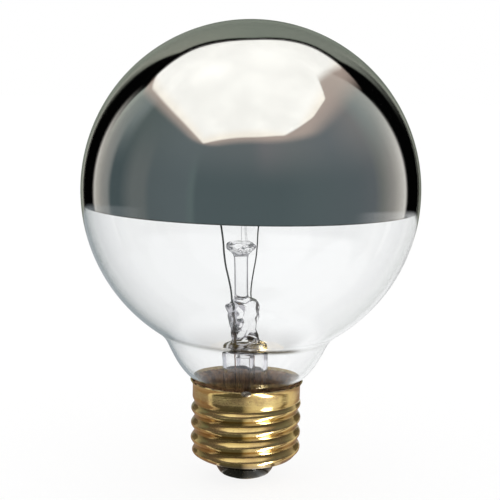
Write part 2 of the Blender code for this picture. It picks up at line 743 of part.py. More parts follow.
def build_supports(mount):
    """Support wires, rooted in the button and hooked over the filament."""
    bend = FILAMENT_RADIUS + GAP + SUPPORT_RADIUS
    for i, direction in enumerate(support_directions()):
        foot = direction * SUPPORT_FOOT_RADIUS
        low = foot + Vector((0, 0, BUTTON_TOP - SUPPORT_INSERTION))
        clear = foot + Vector((0, 0, BUTTON_TOP + SUPPORT_INSERTION))
        rise = direction * (FILAMENT_ARC_RADIUS + bend)
        knee = rise * 0.62 + clear * 0.38
        knee.z = BUTTON_TOP + 0.55 * (FILAMENT_LOCAL_HEIGHT - BUTTON_TOP)
        shoulder = rise + Vector((0, 0, FILAMENT_LOCAL_HEIGHT - 3 * bend))
        path = smooth_path([low, clear, knee, shoulder], 2)
        path += hook(direction, FILAMENT_ARC_RADIUS, FILAMENT_LOCAL_HEIGHT, bend, 5)
        wire(f"support_wire_{i + 1}", path, SUPPORT_RADIUS, "molybdenum", mount)


def build_filament(mount):
    """Coiled filament on a level half circle between the two inner leads."""
    start = FILAMENT_TAIL_ANGLE
    sweep = -math.pi - 2 * FILAMENT_TAIL_ANGLE
    steps = 24
    path = []
    for i in range(steps + 1):
        angle = start + sweep * i / steps
        path.append(
            (
                FILAMENT_ARC_RADIUS * math.cos(angle),
                FILAMENT_ARC_RADIUS * math.sin(angle),
                FILAMENT_LOCAL_HEIGHT,
            )
        )
    wire("filament", path, FILAMENT_RADIUS, "tungsten", mount)


def seal_wire_ends():
    """Local heights of the lower and upper end of the wires sealed in the press."""
    low = PRESS_BASE + LEAD_INSERTION
    high = PRESS_TOP - LEAD_INSERTION
    return low, high


def build_inner_leads(mount):
    """Nickel wires from the press up to the filament, spreading and hooked at their tips."""
    _, seal_top = seal_wire_ends()
    bend = FILAMENT_RADIUS + GAP + LEAD_RADIUS
    rise = FILAMENT_LOCAL_HEIGHT - PRESS_TOP
    spread = LEAD_SPREAD - LEAD_HALF_SPACING
    for name, side in (("left", -1), ("right", 1)):
        direction = Vector((side, 0, 0))
        knots = [direction * LEAD_HALF_SPACING + Vector((0, 0, seal_top + GAP))]
        for out, up in LEAD_BEND_RATIO:
            reach = LEAD_HALF_SPACING + out * spread
            knots.append(direction * reach + Vector((0, 0, PRESS_TOP + up * rise)))
        tip = FILAMENT_LOCAL_HEIGHT - 3 * bend
        knots.append(direction * (FILAMENT_ARC_RADIUS + bend) + Vector((0, 0, tip)))
        path = smooth_path(knots, 3)
        path += hook(direction, FILAMENT_ARC_RADIUS, FILAMENT_LOCAL_HEIGHT, bend, 6)
        wire(f"inner_lead_{name}", path, LEAD_RADIUS, "nickel", mount)


def build_seal_wires(mount):
    """Copper-clad wires that pass through the press and seal to its glass."""
    low, high = seal_wire_ends()
    for name, side in (("left", -1), ("right", 1)):
        x = side * LEAD_HALF_SPACING
        wire(f"seal_wire_{name}", [(x, 0, low), (x, 0, high)], LEAD_RADIUS, "seal_wire", mount)


def build_outer_leads(mount):
    """Copper wires from the press to the centre contact and over the shell's rim."""
    low, _ = seal_wire_ends()
    bpy.context.view_layer.update()
    to_world = mount.matrix_world
    start_height = low - GAP
    straight_end = FLARE_HEIGHT
    right = [
        to_world @ Vector((LEAD_HALF_SPACING, 0, start_height)),
        to_world @ Vector((LEAD_HALF_SPACING, 0, (start_height + straight_end) / 2)),
        to_world @ Vector((LEAD_HALF_SPACING, 0, straight_end)),
    ]
    beside_exhaust = right[-1] * LEAD_RUN_DOWN_RATIO
    beside_exhaust.z = EXHAUST_END
    halfway = beside_exhaust / 2
    halfway.z = (EXHAUST_END + INSULATOR_TOP) / 2
    right += [
        beside_exhaust,
        halfway,
        Vector((0, 0, INSULATOR_TOP + GAP)),
        Vector((0, 0, CONTACT_BOTTOM)),
    ]
    wire("outer_lead_centre", smooth_path(right, 3), LEAD_RADIUS, "copper")

    channel = (NECK_TUBE_RADIUS + THREAD_ROOT_RADIUS - SHELL_WALL) / 2
    lip_channel = lip_inner_radius() - SIDE_LEAD_RADIUS - GAP
    under_neck = NECK_END - 2 * LEAD_RADIUS - GAP
    over_lip = RIM + SIDE_LEAD_RADIUS + GAP
    left = [
        to_world @ Vector((-LEAD_HALF_SPACING, 0, start_height)),
        to_world @ Vector((-LEAD_HALF_SPACING, 0, (start_height + straight_end) / 2)),
        to_world @ Vector((-LEAD_HALF_SPACING, 0, straight_end)),
        Vector((-0.2 * channel, -0.45 * channel, under_neck)),
        Vector((0, -0.85 * channel, under_neck - LEAD_RADIUS)),
        Vector((0, -channel, NECK_END + LEAD_RADIUS)),
        Vector((0, -channel, COLLAR_END)),
        Vector((0, -lip_channel, RIM - 2 * SIDE_LEAD_RADIUS)),
        Vector((0, -lip_channel, RIM)),
        Vector((0, -lip_channel - 1.5 * SIDE_LEAD_RADIUS, over_lip)),
        Vector((0, -COLLAR_RADIUS - LIP_FLARE, over_lip)),
    ]
    wire("outer_lead_side", smooth_path(left, 3), SIDE_LEAD_RADIUS, "copper")


def build_side_solder():
    """Lump of solder moulded against the outside of the lip, where the side lead ends."""
    reach = COLLAR_RADIUS + LIP_FLARE + GAP
    bm = bmesh.new()
    bmesh.ops.create_uvsphere(bm, u_segments=14, v_segments=8, radius=1.0)
    size = Matrix.Diagonal((SIDE_SOLDER_WIDTH / 2, SIDE_SOLDER_DEPTH, SIDE_SOLDER_HEIGHT / 2, 1.0))
    place = Matrix.Translation((0, -reach, RIM))
    bmesh.ops.transform(bm, matrix=place @ size, verts=bm.verts[:])
    lump = add_object("side_solder", mesh_from_bmesh("side_solder", bm), "solder")
    clear_lip = offset_outline(lip_outline(), GAP)
    seat = [
        (0, RIM + SIDE_SOLDER_HEIGHT),
        (reach, RIM + SIDE_SOLDER_HEIGHT),
        *clear_lip,
        (clear_lip[-1][0], RIM - 2 * SIDE_SOLDER_HEIGHT),
        (0, RIM - 2 * SIDE_SOLDER_HEIGHT),
    ]
    apply_helpers(lump, [add_helper("lip_seat", revolve("lip_seat", seat, SEGMENTS))])
    return lump


def main():
    """Build every piece of the lamp."""
    clear_scene()
    build_globe()
    build_mirror()
    build_screw_shell()
    build_insulator()
    build_contact()
    build_cement()
    build_side_solder()
    mount = mount_axis()
    build_stem(mount)
    build_exhaust(mount)
    build_rod(mount)
    build_supports(mount)
    build_filament(mount)
    build_inner_leads(mount)
    build_seal_wires(mount)
    build_outer_leads(mount)


main()
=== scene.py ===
"""Looks of the silver crown globe lamp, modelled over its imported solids, in metres.

The lamp stands on +Z with its contact at the origin. Its blown glass, mirror film, fused
stem, wires, rolled brass shell and base are modelled finely here, each in the place of
the solid that it stands for. The studio is a white sweep under one large overhead light,
with dark walls, so that the mirror has something to show.
"""

import logging
import math
from dataclasses import dataclass
from enum import Enum
from functools import cached_property
from typing import Any, Callable

import bpy
from mathutils import Matrix, Vector
from mathutils.geometry import interpolate_bezier


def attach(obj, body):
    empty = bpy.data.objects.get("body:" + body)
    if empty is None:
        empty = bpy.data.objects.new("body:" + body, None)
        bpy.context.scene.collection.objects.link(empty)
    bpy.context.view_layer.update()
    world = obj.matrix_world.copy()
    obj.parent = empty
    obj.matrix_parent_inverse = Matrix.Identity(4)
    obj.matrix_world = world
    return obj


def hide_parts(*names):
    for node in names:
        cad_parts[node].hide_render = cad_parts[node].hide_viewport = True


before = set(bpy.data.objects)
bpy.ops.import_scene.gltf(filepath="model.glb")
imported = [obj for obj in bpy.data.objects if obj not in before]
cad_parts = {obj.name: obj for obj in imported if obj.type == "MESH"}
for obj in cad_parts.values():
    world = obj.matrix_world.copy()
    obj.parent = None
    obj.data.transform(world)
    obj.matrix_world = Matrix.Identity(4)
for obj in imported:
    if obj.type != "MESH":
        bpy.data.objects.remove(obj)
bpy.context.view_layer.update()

LOG = logging.getLogger("silver_crown_lamp")

MM = 0.001
FULL_TURN = 2 * math.pi

Outline = list[tuple[float, float]]
Colour = tuple[float, float, float]
Ring = tuple[tuple[float, Colour], ...]
Edges = tuple[tuple[float, float, float], ...]
Rings = list[tuple[float, float, float]]


class Side(Enum):
    """The two sides of the mount, as signs along its width."""

    LEFT = -1
    RIGHT = 1


class Skin(Enum):
    """Which face of a blown wall an outline follows."""

    OUTER = 0
    INNER = 1


def arc_outline(centre: tuple[float, float], radius: float, start: float, end: float, steps: int) -> Outline:
    """Draw an arc in the plane of radius and height.

    Args:
        centre: Centre of the arc.
        radius: Radius of the arc.
        start: First angle, in radians.
        end: Last angle, in radians.
        steps: Number of equal steps between them.

    Returns:
        The points of the arc, with both ends.
    """
    angles = [start + (end - start) * i / steps for i in range(steps + 1)]
    return [(centre[0] + radius * math.cos(a), centre[1] + radius * math.sin(a)) for a in angles]


def curve_outline(
    start: tuple[float, float],
    start_handle: tuple[float, float],
    end_handle: tuple[float, float],
    end: tuple[float, float],
    steps: int,
) -> Outline:
    """Draw a cubic curve in the plane of radius and height.

    Args:
        start: First point.
        start_handle: Handle of the first point.
        end_handle: Handle of the last point.
        end: Last point.
        steps: Number of steps along the curve.

    Returns:
        The points of the curve, without the first one.
    """
    knots = [Vector((*point, 0)) for point in (start, start_handle, end_handle, end)]
    return [(p.x, p.y) for p in interpolate_bezier(*knots, steps + 1)][1:]


def offset_outline(outline: Outline, distance: float) -> Outline:
    """Shift an outline sideways.

    Args:
        outline: The outline to shift.
        distance: How far it goes to the left of its direction of travel.

    Returns:
        The shifted outline, with as many points.
    """
    shifted = []
    for i, (radius, height) in enumerate(outline):
        before = Vector(outline[max(i - 1, 0)])
        after = Vector(outline[min(i + 1, len(outline) - 1)])
        along = (after - before).normalized()
        shifted.append((radius - along.y * distance, height + along.x * distance))
    return shifted


def round_rings(outline: Outline) -> Rings:
    """Make a round ring of each point of an outline."""
    return [(radius, radius, height) for radius, height in outline]


def upright(height: float) -> Vector:
    """Give the place on the axis at a height."""
    return Vector((0, 0, height))


def smooth_path(knots: list[Vector], steps: int) -> list[Vector]:
    """Run a smooth curve through knots.

    Args:
        knots: Points that the curve passes.
        steps: Number of steps between each two knots.

    Returns:
        The points of the curve, with both ends.
    """
    last = len(knots) - 1
    slopes = [(knots[min(i + 1, last)] - knots[max(i - 1, 0)]) / 2 for i in range(last + 1)]
    path = [knots[0]]
    for i in range(last):
        handles = knots[i] + slopes[i] / 3, knots[i + 1] - slopes[i + 1] / 3
        path += interpolate_bezier(knots[i], *handles, knots[i + 1], steps + 1)[1:]
    return path


class Bench:
    """The modelling bench, where Blender's own operators shape each piece."""

    @staticmethod
    def clear() -> None:
        """Leave edit mode and deselect every object."""
        if bpy.context.object and bpy.context.object.mode != "OBJECT":
            bpy.ops.object.mode_set(mode="OBJECT")
        bpy.ops.object.select_all(action="DESELECT")

    @staticmethod
    def take(piece: bpy.types.Object) -> None:
        """Make one piece the only one selected, and the active one.

        Args:
            piece: The piece to take.
        """
        Bench.clear()
        piece.select_set(True)
        bpy.context.view_layer.objects.active = piece

    @staticmethod
    def name_new(name: str) -> bpy.types.Object:
        """Name the piece just added and give it back.

        Args:
            name: Its name.

        Returns:
            The piece.
        """
        piece = bpy.context.object
        piece.name = piece.data.name = name
        return piece

    @staticmethod
    def apply_place() -> None:
        """Apply the place, turn and size of the piece in hand to its points."""
        bpy.ops.object.transform_apply(location=True, rotation=True, scale=True)

    @staticmethod
    def settle(piece: bpy.types.Object, smooth_angle: float = math.radians(35)) -> bpy.types.Object:
        """Merge a closed shape's doubles, turn its faces outwards, shade it and apply its place.

        Args:
            piece: The piece to settle.
            smooth_angle: Edges sharper than this angle stay sharp.

        Returns:
            The same piece.
        """
        Bench.take(piece)
        bpy.ops.object.mode_set(mode="EDIT")
        bpy.ops.mesh.select_all(action="SELECT")
        bpy.ops.mesh.remove_doubles(threshold=0.002 * MM)
        bpy.ops.mesh.normals_make_consistent(inside=False)
        bpy.ops.object.mode_set(mode="OBJECT")
        Bench.apply_place()
        bpy.ops.object.shade_smooth_by_angle(angle=smooth_angle)
        return piece

    @staticmethod
    def lathe(name: str, outline: Outline, steps: int) -> bpy.types.Object:
        """Extrude a point along an outline and spin the line about Z.

        Args:
            name: Name of the piece.
            outline: Points of radius and height. It starts and ends on the axis, or closes.
            steps: Number of steps in the full turn.

        Returns:
            The new piece, a closed surface.
        """
        Bench.clear()
        radius, height = outline[0]
        bpy.ops.mesh.primitive_plane_add(size=MM, location=(radius, 0, height))
        piece = Bench.name_new(name)
        bpy.ops.object.mode_set(mode="EDIT")
        bpy.ops.mesh.select_mode(type="VERT")
        bpy.ops.mesh.merge(type="CENTER")
        for before, after in zip(outline, outline[1:]):
            step = (after[0] - before[0], 0, after[1] - before[1])
            bpy.ops.mesh.extrude_vertices_move(TRANSFORM_OT_translate={"value": step})
        bpy.ops.mesh.select_all(action="SELECT")
        bpy.ops.mesh.spin(steps=steps, angle=FULL_TURN, center=(0, 0, 0), axis=(0, 0, 1))
        return Bench.settle(piece)

    @staticmethod
    def raise_rings(name: str, rings: Rings, sides: int) -> bpy.types.Object:
        """Extrude an oval ring upwards, resizing it at each level, and close both of its ends.

        Args:
            name: Name of the piece.
            rings: Half width, half depth and height of each level.
            sides: Number of sides of the ring.

        Returns:
            The new piece, a closed surface.
        """
        Bench.clear()
        width, depth, height = rings[0]
        bpy.ops.mesh.primitive_circle_add(vertices=sides, radius=width, location=(0, 0, height))
        piece = Bench.name_new(name)
        bpy.ops.object.mode_set(mode="EDIT")
        bpy.ops.mesh.select_all(action="SELECT")
        bpy.ops.transform.resize(value=(1, depth / width, 1), center_override=(0, 0, height))
        for before, after in zip(rings, rings[1:]):
            rise = (0, 0, after[2] - before[2])
            bpy.ops.mesh.extrude_edges_move(TRANSFORM_OT_translate={"value": rise})
            change = (after[0] / before[0], after[1] / before[1], 1)
            bpy.ops.transform.resize(value=change, center_override=(0, 0, after[2]))
        bpy.ops.mesh.merge(type="CENTER")
        return Bench.settle(piece)

    @staticmethod
    def draw_wire(name: str, path: list[Vector], radius: float, sides: int = 10) -> bpy.types.Object:
        """Draw a round wire along a path and turn it into a mesh with closed ends.

        Args:
            name: Name of the piece.
            path: Points of the wire's middle.
            radius: Radius of the wire.
            sides: Number of sides of its section, even.

        Returns:
            The new piece.
        """
        Bench.clear()
        bpy.ops.curve.primitive_bezier_curve_add()
        piece = Bench.name_new(name)
        curve = piece.data
        curve.splines.clear()
        spline = curve.splines.new("POLY")
        spline.points.add(len(path) - 1)
        for knot, point in zip(spline.points, path):
            knot.co = (*point, 1.0)
        curve.bevel_depth = radius
        curve.bevel_resolution = (sides - 4) // 2
        curve.use_fill_caps = True
        bpy.ops.object.convert(target="MESH")
        return Bench.settle(piece, math.radians(60))

    @staticmethod
    def add_modifier(piece: bpy.types.Object, kind: str, **settings: Any) -> None:
        """Add one modifier to a piece and apply it.

        Args:
            piece: The piece.
            kind: Blender's name of the modifier.
            **settings: Its settings, by name.
        """
        Bench.take(piece)
        bpy.ops.object.modifier_add(type=kind)
        modifier = piece.modifiers[-1]
        for setting, value in settings.items():
            setattr(modifier, setting, value)
        bpy.ops.object.modifier_apply(modifier=modifier.name)

    @staticmethod
    def thicken(sheet: bpy.types.Object, wall: float, smooth_angle: float) -> None:
        """Give a sheet its wall, inwards, and shade it.

        Args:
            sheet: The open sheet.
            wall: Thickness of the wall.
            smooth_angle: Edges sharper than this angle stay sharp.
        """
        Bench.add_modifier(sheet, "SOLIDIFY", thickness=wall, offset=-1.0, use_even_offset=True)
        Bench.take(sheet)
        bpy.ops.object.shade_smooth_by_angle(angle=smooth_angle)

    @staticmethod
    def round_off(piece: bpy.types.Object) -> None:
        """Close the open ring of a raised piece and subdivide it smoothly.

        Args:
            piece: The piece, open at its lowest ring.
        """
        Bench.take(piece)
        bpy.ops.object.mode_set(mode="EDIT")
        bpy.ops.mesh.select_all(action="SELECT")
        bpy.ops.mesh.fill_holes(sides=0)
        bpy.ops.object.mode_set(mode="OBJECT")
        Bench.add_modifier(piece, "SUBSURF", levels=2, render_levels=2)

    @staticmethod
    def cut(piece: bpy.types.Object, tool: bpy.types.Object, operation: str = "DIFFERENCE") -> None:
        """Cut a tool out of a piece, or fuse it on, and throw the tool away.

        Args:
            piece: The piece.
            tool: The solid that shapes it.
            operation: Blender's name of the boolean operation.
        """
        Bench.add_modifier(piece, "BOOLEAN", object=tool, operation=operation, solver="EXACT")
        bpy.data.objects.remove(tool)

    @staticmethod
    def move_points(piece: bpy.types.Object, place: Callable[[Vector], Vector]) -> None:
        """Move every point of a piece by a rule.

        Args:
            piece: The piece.
            place: Gives a point's new place from its old one.
        """
        for vertex in piece.data.vertices:
            vertex.co = place(vertex.co.copy())
        piece.data.update()


class NodeDesk:
    """Places nodes in one tree and joins them."""

    def __init__(self, tree: bpy.types.NodeTree) -> None:
        """Start work on a tree."""
        self.tree = tree

    def add(self, kind: str, inputs: dict[Any, Any] | None = None, **settings: Any) -> bpy.types.Node:
        """Place a node.

        Args:
            kind: Name of the node, without its ShaderNode prefix.
            inputs: Values or sockets for its inputs, by name or index.
            **settings: Its settings, by name.

        Returns:
            The new node.
        """
        node = self.tree.nodes.new(kind if kind.startswith("Node") else "ShaderNode" + kind)
        for setting, value in settings.items():
            setattr(node, setting, value)
        for key, value in (inputs or {}).items():
            self.feed(node.inputs[key], value)
        return node

    def feed(self, socket: bpy.types.NodeSocket, value: Any) -> None:
        """Join a socket to an input, or set the input to a value.

        Args:
            socket: The input.
            value: A socket, a number, a vector or a colour.
        """
        if isinstance(value, bpy.types.NodeSocket):
            self.tree.links.new(value, socket)
        elif isinstance(value, tuple) and len(value) == 3 and socket.type == "RGBA":
            socket.default_value = (*value, 1.0)
        else:
            socket.default_value = value

    def math(self, operation: str, *values: Any) -> bpy.types.NodeSocket:
        """Work out one number from up to three."""
        return self.add("Math", dict(enumerate(values)), operation=operation).outputs[0]

    def split(self, vector: Any) -> Any:
        """Take a vector apart into X, Y and Z."""
        return self.add("SeparateXYZ", {0: vector}).outputs

    def product(self, first: Any, *others: Any) -> Any:
        """Multiply numbers.

        Args:
            first: First factor.
            *others: The other factors.

        Returns:
            Their product.
        """
        for other in others:
            first = self.math("MULTIPLY", first, other)
        return first

    def rest(self, share: Any) -> bpy.types.NodeSocket:
        """Give what a share leaves of one."""
        return self.math("SUBTRACT", 1.0, share)

    def length(self, x: Any, y: Any) -> bpy.types.NodeSocket:
        """Give the distance that two level steps make."""
        return self.math("SQRT", self.math("MULTIPLY_ADD", x, x, self.math("MULTIPLY", y, y)))

    def ramp(
        self, value: Any, low: Any, high: Any, to_low: Any = 0.0, to_high: Any = 1.0
    ) -> bpy.types.NodeSocket:
        """Ease a number from one range to another, held at both ends."""
        inputs = {"Value": value, "From Min": low, "From Max": high, "To Min": to_low, "To Max": to_high}
        return self.add("MapRange", inputs, interpolation_type="SMOOTHSTEP").outputs["Result"]

    def fade(self, value: Any, low: Any, high: Any) -> bpy.types.NodeSocket:
        """Ease from one to nothing as a number rises."""
        return self.ramp(value, low, high, 1.0, 0.0)

    def band(self, value: Any, start: float, full: float, last: float, end: float) -> bpy.types.NodeSocket:
        """Ease from nothing to one and back as a number rises."""
        return self.product(self.ramp(value, start, full), self.fade(value, last, end))

    def blend(self, share: Any, first: Any, second: Any, mode: str = "MIX") -> bpy.types.NodeSocket:
        """Blend two colours.

        Args:
            share: Share of the second colour.
            first: The first colour.
            second: The second colour.
            mode: Blender's name of the way they blend.

        Returns:
            The blended colour.
        """
        node = self.add("Mix", data_type="RGBA", blend_type=mode)
        for socket, value in zip((node.inputs[0], node.inputs[6], node.inputs[7]), (share, first, second)):
            self.feed(socket, value)
        return node.outputs[2]

    def noise(
        self, vector: Any, scale: Any, detail: float = 3.0, roughness: float = 0.5
    ) -> bpy.types.NodeSocket:
        """Grain with a mean of a half, at a number of grains to the metre."""
        inputs = {"Vector": vector, "Scale": scale, "Detail": detail, "Roughness": roughness}
        return self.add("TexNoise", inputs).outputs["Fac"]

    def stretch(self, vector: Any, scale: tuple[float, float, float]) -> bpy.types.NodeSocket:
        """Scale a pattern's coordinates by an amount on each axis."""
        return self.add("Mapping", {"Vector": vector, "Scale": scale}).outputs[0]

    def bump(self, height: Any, strength: float, distance: float) -> bpy.types.NodeSocket:
        """Turn a relief into the tilt of a face."""
        inputs = {"Height": height, "Strength": strength, "Distance": distance}
        return self.add("Bump", inputs).outputs["Normal"]


class Compass:
    """A place or a direction, taken apart on a desk."""

    def __init__(self, desk: NodeDesk, vector: Any) -> None:
        """Take a vector apart."""
        self.desk = desk
        self.x, self.y, self.z = desk.split(vector)

    @cached_property
    def azimuth(self) -> bpy.types.NodeSocket:
        """Compass angle in degrees, which is nothing at the camera's side."""
        angle = self.desk.math("ARCTAN2", self.x, self.desk.math("MULTIPLY", self.y, -1.0))
        return self.desk.math("DEGREES", angle)

    @cached_property
    def reach(self) -> bpy.types.NodeSocket:
        """Distance from the Z axis."""
        return self.desk.length(self.x, self.y)


class Effects:
    """Shader node groups that several finishes or lights share, each built once."""

    @staticmethod
    def open_group(name: str, inputs: dict[str, Any]) -> tuple[NodeDesk, Any]:
        """Make a group with its inputs.

        Args:
            name: Name of the group.
            inputs: Default of each input. None makes a vector input.

        Returns:
            The desk to fill the group from, and what its inputs bring.
        """
        group = bpy.data.node_groups.new(name, "ShaderNodeTree")
        for label, default in inputs.items():
            kind = "NodeSocketVector" if default is None else "NodeSocketFloat"
            socket = group.interface.new_socket(label, in_out="INPUT", socket_type=kind)
            if default is not None:
                socket.default_value = default
        desk = NodeDesk(group)
        return desk, desk.add("NodeGroupInput").outputs

    @staticmethod
    def close_group(desk: NodeDesk, results: dict[str, Any]) -> bpy.types.NodeTree:
        """Give a group its number outputs and feed them.

        Args:
            desk: Desk of the group.
            results: What each output gives, by name.

        Returns:
            The finished group.
        """
        for label in results:
            desk.tree.interface.new_socket(label, in_out="OUTPUT", socket_type="NodeSocketFloat")
        desk.add("NodeGroupOutput", results)
        return desk.tree

    @staticmethod
    def place(desk: NodeDesk, name: str, inputs: dict[str, Any]) -> Any:
        """Place a group in a tree, and build it first if no tree has used it yet.

        Args:
            desk: The desk of the tree.
            name: Name of the effect, which is also that of the method that builds it.
            inputs: Values or sockets for its inputs.

        Returns:
            The outputs of the group's node.
        """
        group = bpy.data.node_groups.get(name) or getattr(Effects, name)()
        return desk.add("Group", inputs, node_tree=group).outputs

    @staticmethod
    def flame_ripple() -> bpy.types.NodeTree:
        """Slow waves of worked glass, and the faint film of handling on it.

        Returns:
            The finished group.
        """
        defaults = {"Vector": None, "Scale": 60.0, "Upright": 1.0, "Haze": 0.02}
        desk, given = Effects.open_group("flame_ripple", defaults)
        upright = desk.add("CombineXYZ", {0: 1.0, 1: 1.0, 2: given["Upright"]}).outputs[0]
        spread = desk.add("VectorMath", {0: given["Vector"], 1: upright}, operation="MULTIPLY").outputs[0]
        film = desk.ramp(desk.noise(given["Vector"], 240.0, 4.0, 0.6), 0.45, 0.75)
        waves = desk.noise(spread, given["Scale"], 1.5)
        return Effects.close_group(desk, {"Height": waves, "Roughness": desk.product(film, given["Haze"])})

    @staticmethod
    def handled_metal() -> bpy.types.NodeTree:
        """Tarnish in cloudy patches, fine drawing lines round Z, and small specks.

        Returns:
            The finished group.
        """
        desk, given = Effects.open_group("handled_metal", {"Vector": None, "Patch Scale": 180.0})
        vector = given["Vector"]
        results = {
            "Tarnish": desk.ramp(desk.noise(vector, given["Patch Scale"], 5.0, 0.62), 0.42, 0.66),
            "Lines": desk.noise(desk.stretch(vector, (0.03, 0.03, 1.0)), 9000.0, 2.0),
            "Specks": desk.ramp(desk.noise(vector, 2600.0, 2.0), 0.62, 0.74),
        }
        return Effects.close_group(desk, results)

    @staticmethod
    def panel_edge() -> bpy.types.NodeTree:
        """Mask of what lies beyond a straight edge overhead, by slopes along X and Y.

        Returns:
            The finished group.
        """
        defaults = {"U": 0.0, "V": 0.0, "Turn": 0.0, "Reach": 1.0, "Soft": 0.03}
        desk, given = Effects.open_group("panel_edge", defaults)
        along = desk.math("MULTIPLY", given["U"], desk.math("COSINE", given["Turn"]))
        far = desk.math("MULTIPLY_ADD", given["V"], desk.math("SINE", given["Turn"]), along)
        start = desk.math("SUBTRACT", given["Reach"], given["Soft"])
        end = desk.math("ADD", given["Reach"], given["Soft"])
        return Effects.close_group(desk, {"Mask": desk.ramp(far, start, end)})


@dataclass(frozen=True)
class Finish:
    """A finish that a Principled shader makes, named as the record's material slot."""

    name: str

    def inputs(self, desk: NodeDesk, place: Any) -> dict[str, Any]:
        """Work out the shader's inputs.

        Args:
            desk: Desk of the material's tree.
            place: The piece's own coordinates.

        Returns:
            Values or sockets for the shader's inputs, by name.
        """
        raise NotImplementedError

    def material(self) -> bpy.types.Material:
        """Build the material.

        Returns:
            The new material, with its shader fed.
        """
        material = bpy.data.materials.new(self.name)
        material.use_nodes = True
        desk = NodeDesk(material.node_tree)
        shader = material.node_tree.nodes["Principled BSDF"]
        for name, value in self.inputs(desk, desk.add("TexCoord").outputs["Object"]).items():
            desk.feed(shader.inputs[name], value)
        return material


@dataclass(frozen=True)
class LampGlass(Finish):
    """Clear blown or flame-worked glass with slow ripples, and a painted line of shade where neck meets globe.
    """

    ripple_scale: float
    ripple_depth: float
    upright: float = 1.0
    haze: float = 0.02
    tint: Colour = (1.0, 1.0, 1.0)
    passed: Colour = (0.94, 0.94, 0.94)
    # Height, width, slant and colour of the painted line of shade at the waist.
    shade_line_height: float = 0.0
    shade_line_width: float = 0.0010
    shade_line_slant: float = 0.045
    shade_line_colour: Colour = (0.16, 0.145, 0.11)

    def paint_shade_line(self, desk: NodeDesk, place: Any) -> Any:
        """Paint a dark line of shade in front, which is heaviest right of the middle and dies away on both
        sides.

        Args:
            desk: Desk of the finish.
            place: Place on the object.

        Returns:
            The tint of the glass, with the painted line of shade.
        """
        if not self.shade_line_height:
            return self.tint
        # Painted shade: a dark line in the glass's tint along the waist, heaviest right of the middle.
        x, y, z = desk.split(place)
        level = desk.math("MULTIPLY_ADD", x, self.shade_line_slant, z)
        gap = desk.math("ABSOLUTE", desk.math("SUBTRACT", level, self.shade_line_height))
        line = desk.product(desk.fade(gap, 0.0, self.shade_line_width), desk.fade(y, -0.008, -0.003))
        weight = desk.product(desk.ramp(x, -0.006, 0.0, 0.50, 1.0), desk.ramp(x, 0.009, 0.013, 1.0, 0.2))
        return desk.blend(desk.product(line, weight), self.tint, self.shade_line_colour)

    def inputs(self, desk: NodeDesk, place: Any) -> dict[str, Any]:
        """Work out the shader's inputs.

        Args:
            desk: Desk of the material's tree.
            place: The piece's own coordinates.

        Returns:
            Values or sockets for the shader's inputs, by name.
        """
        sockets = {"Vector": place, "Scale": self.ripple_scale, "Upright": self.upright, "Haze": self.haze}
        ripple = Effects.place(desk, "flame_ripple", sockets)
        return {
            "Base Color": self.paint_shade_line(desk, place),
            "Transmission Weight": 1.0,
            "IOR": 1.5,
            "Roughness": ripple["Roughness"],
            "Normal": desk.bump(ripple["Height"], 1.0, self.ripple_depth),
        }

    def material(self) -> bpy.types.Material:
        """Build the material, which lets soft light and shadow rays straight through.

        Returns:
            The new material.
        """
        material = super().material()
        desk, nodes = NodeDesk(material.node_tree), material.node_tree.nodes
        path = desk.add("LightPath").outputs
        soft = desk.math("MAXIMUM", path["Is Diffuse Ray"], path["Is Shadow Ray"])
        clear = desk.add("BsdfTransparent", {"Color": self.passed})
        either = desk.add("MixShader", {0: soft, 1: nodes["Principled BSDF"].outputs[0], 2: clear.outputs[0]})
        desk.feed(nodes["Material Output"].inputs["Surface"], either.outputs[0])
        return material


@dataclass(frozen=True)
class MirrorFilm(Finish):
    """Evaporated metal film on the glass, a little thinner and browner along its edge."""

    name: str = "mirror"
    colour: Colour = (0.88, 0.88, 0.87)
    cloudy: Colour = (0.8492, 0.8492, 0.83955)
    edge_colour: Colour = (0.46, 0.41, 0.36)
    edge_height: float = 0.0659765
    edge_width: float = 0.00035

    def inputs(self, desk: NodeDesk, place: Any) -> dict[str, Any]:
        """Work out the shader's inputs.

        Args:
            desk: Desk of the material's tree.
            place: The piece's own coordinates.

        Returns:
            Values or sockets for the shader's inputs, by name.
        """
        cloud = desk.noise(place, 90.0)
        width = self.edge_width
        wander = desk.math("MULTIPLY_ADD", desk.noise(place, 400.0, 2.0), width, width / 2)
        body = desk.ramp(desk.math("SUBTRACT", desk.split(place)[2], self.edge_height), 0.0, wander)
        return {
            "Base Color": desk.blend(body, self.edge_colour, desk.blend(cloud, self.colour, self.cloudy)),
            "Metallic": 1.0,
            "Roughness": desk.ramp(cloud, 0.3, 0.7, 0.008, 0.022),
            "Normal": desk.bump(desk.noise(place, 55.0, 1.0), 1.0, 0.00006),
        }


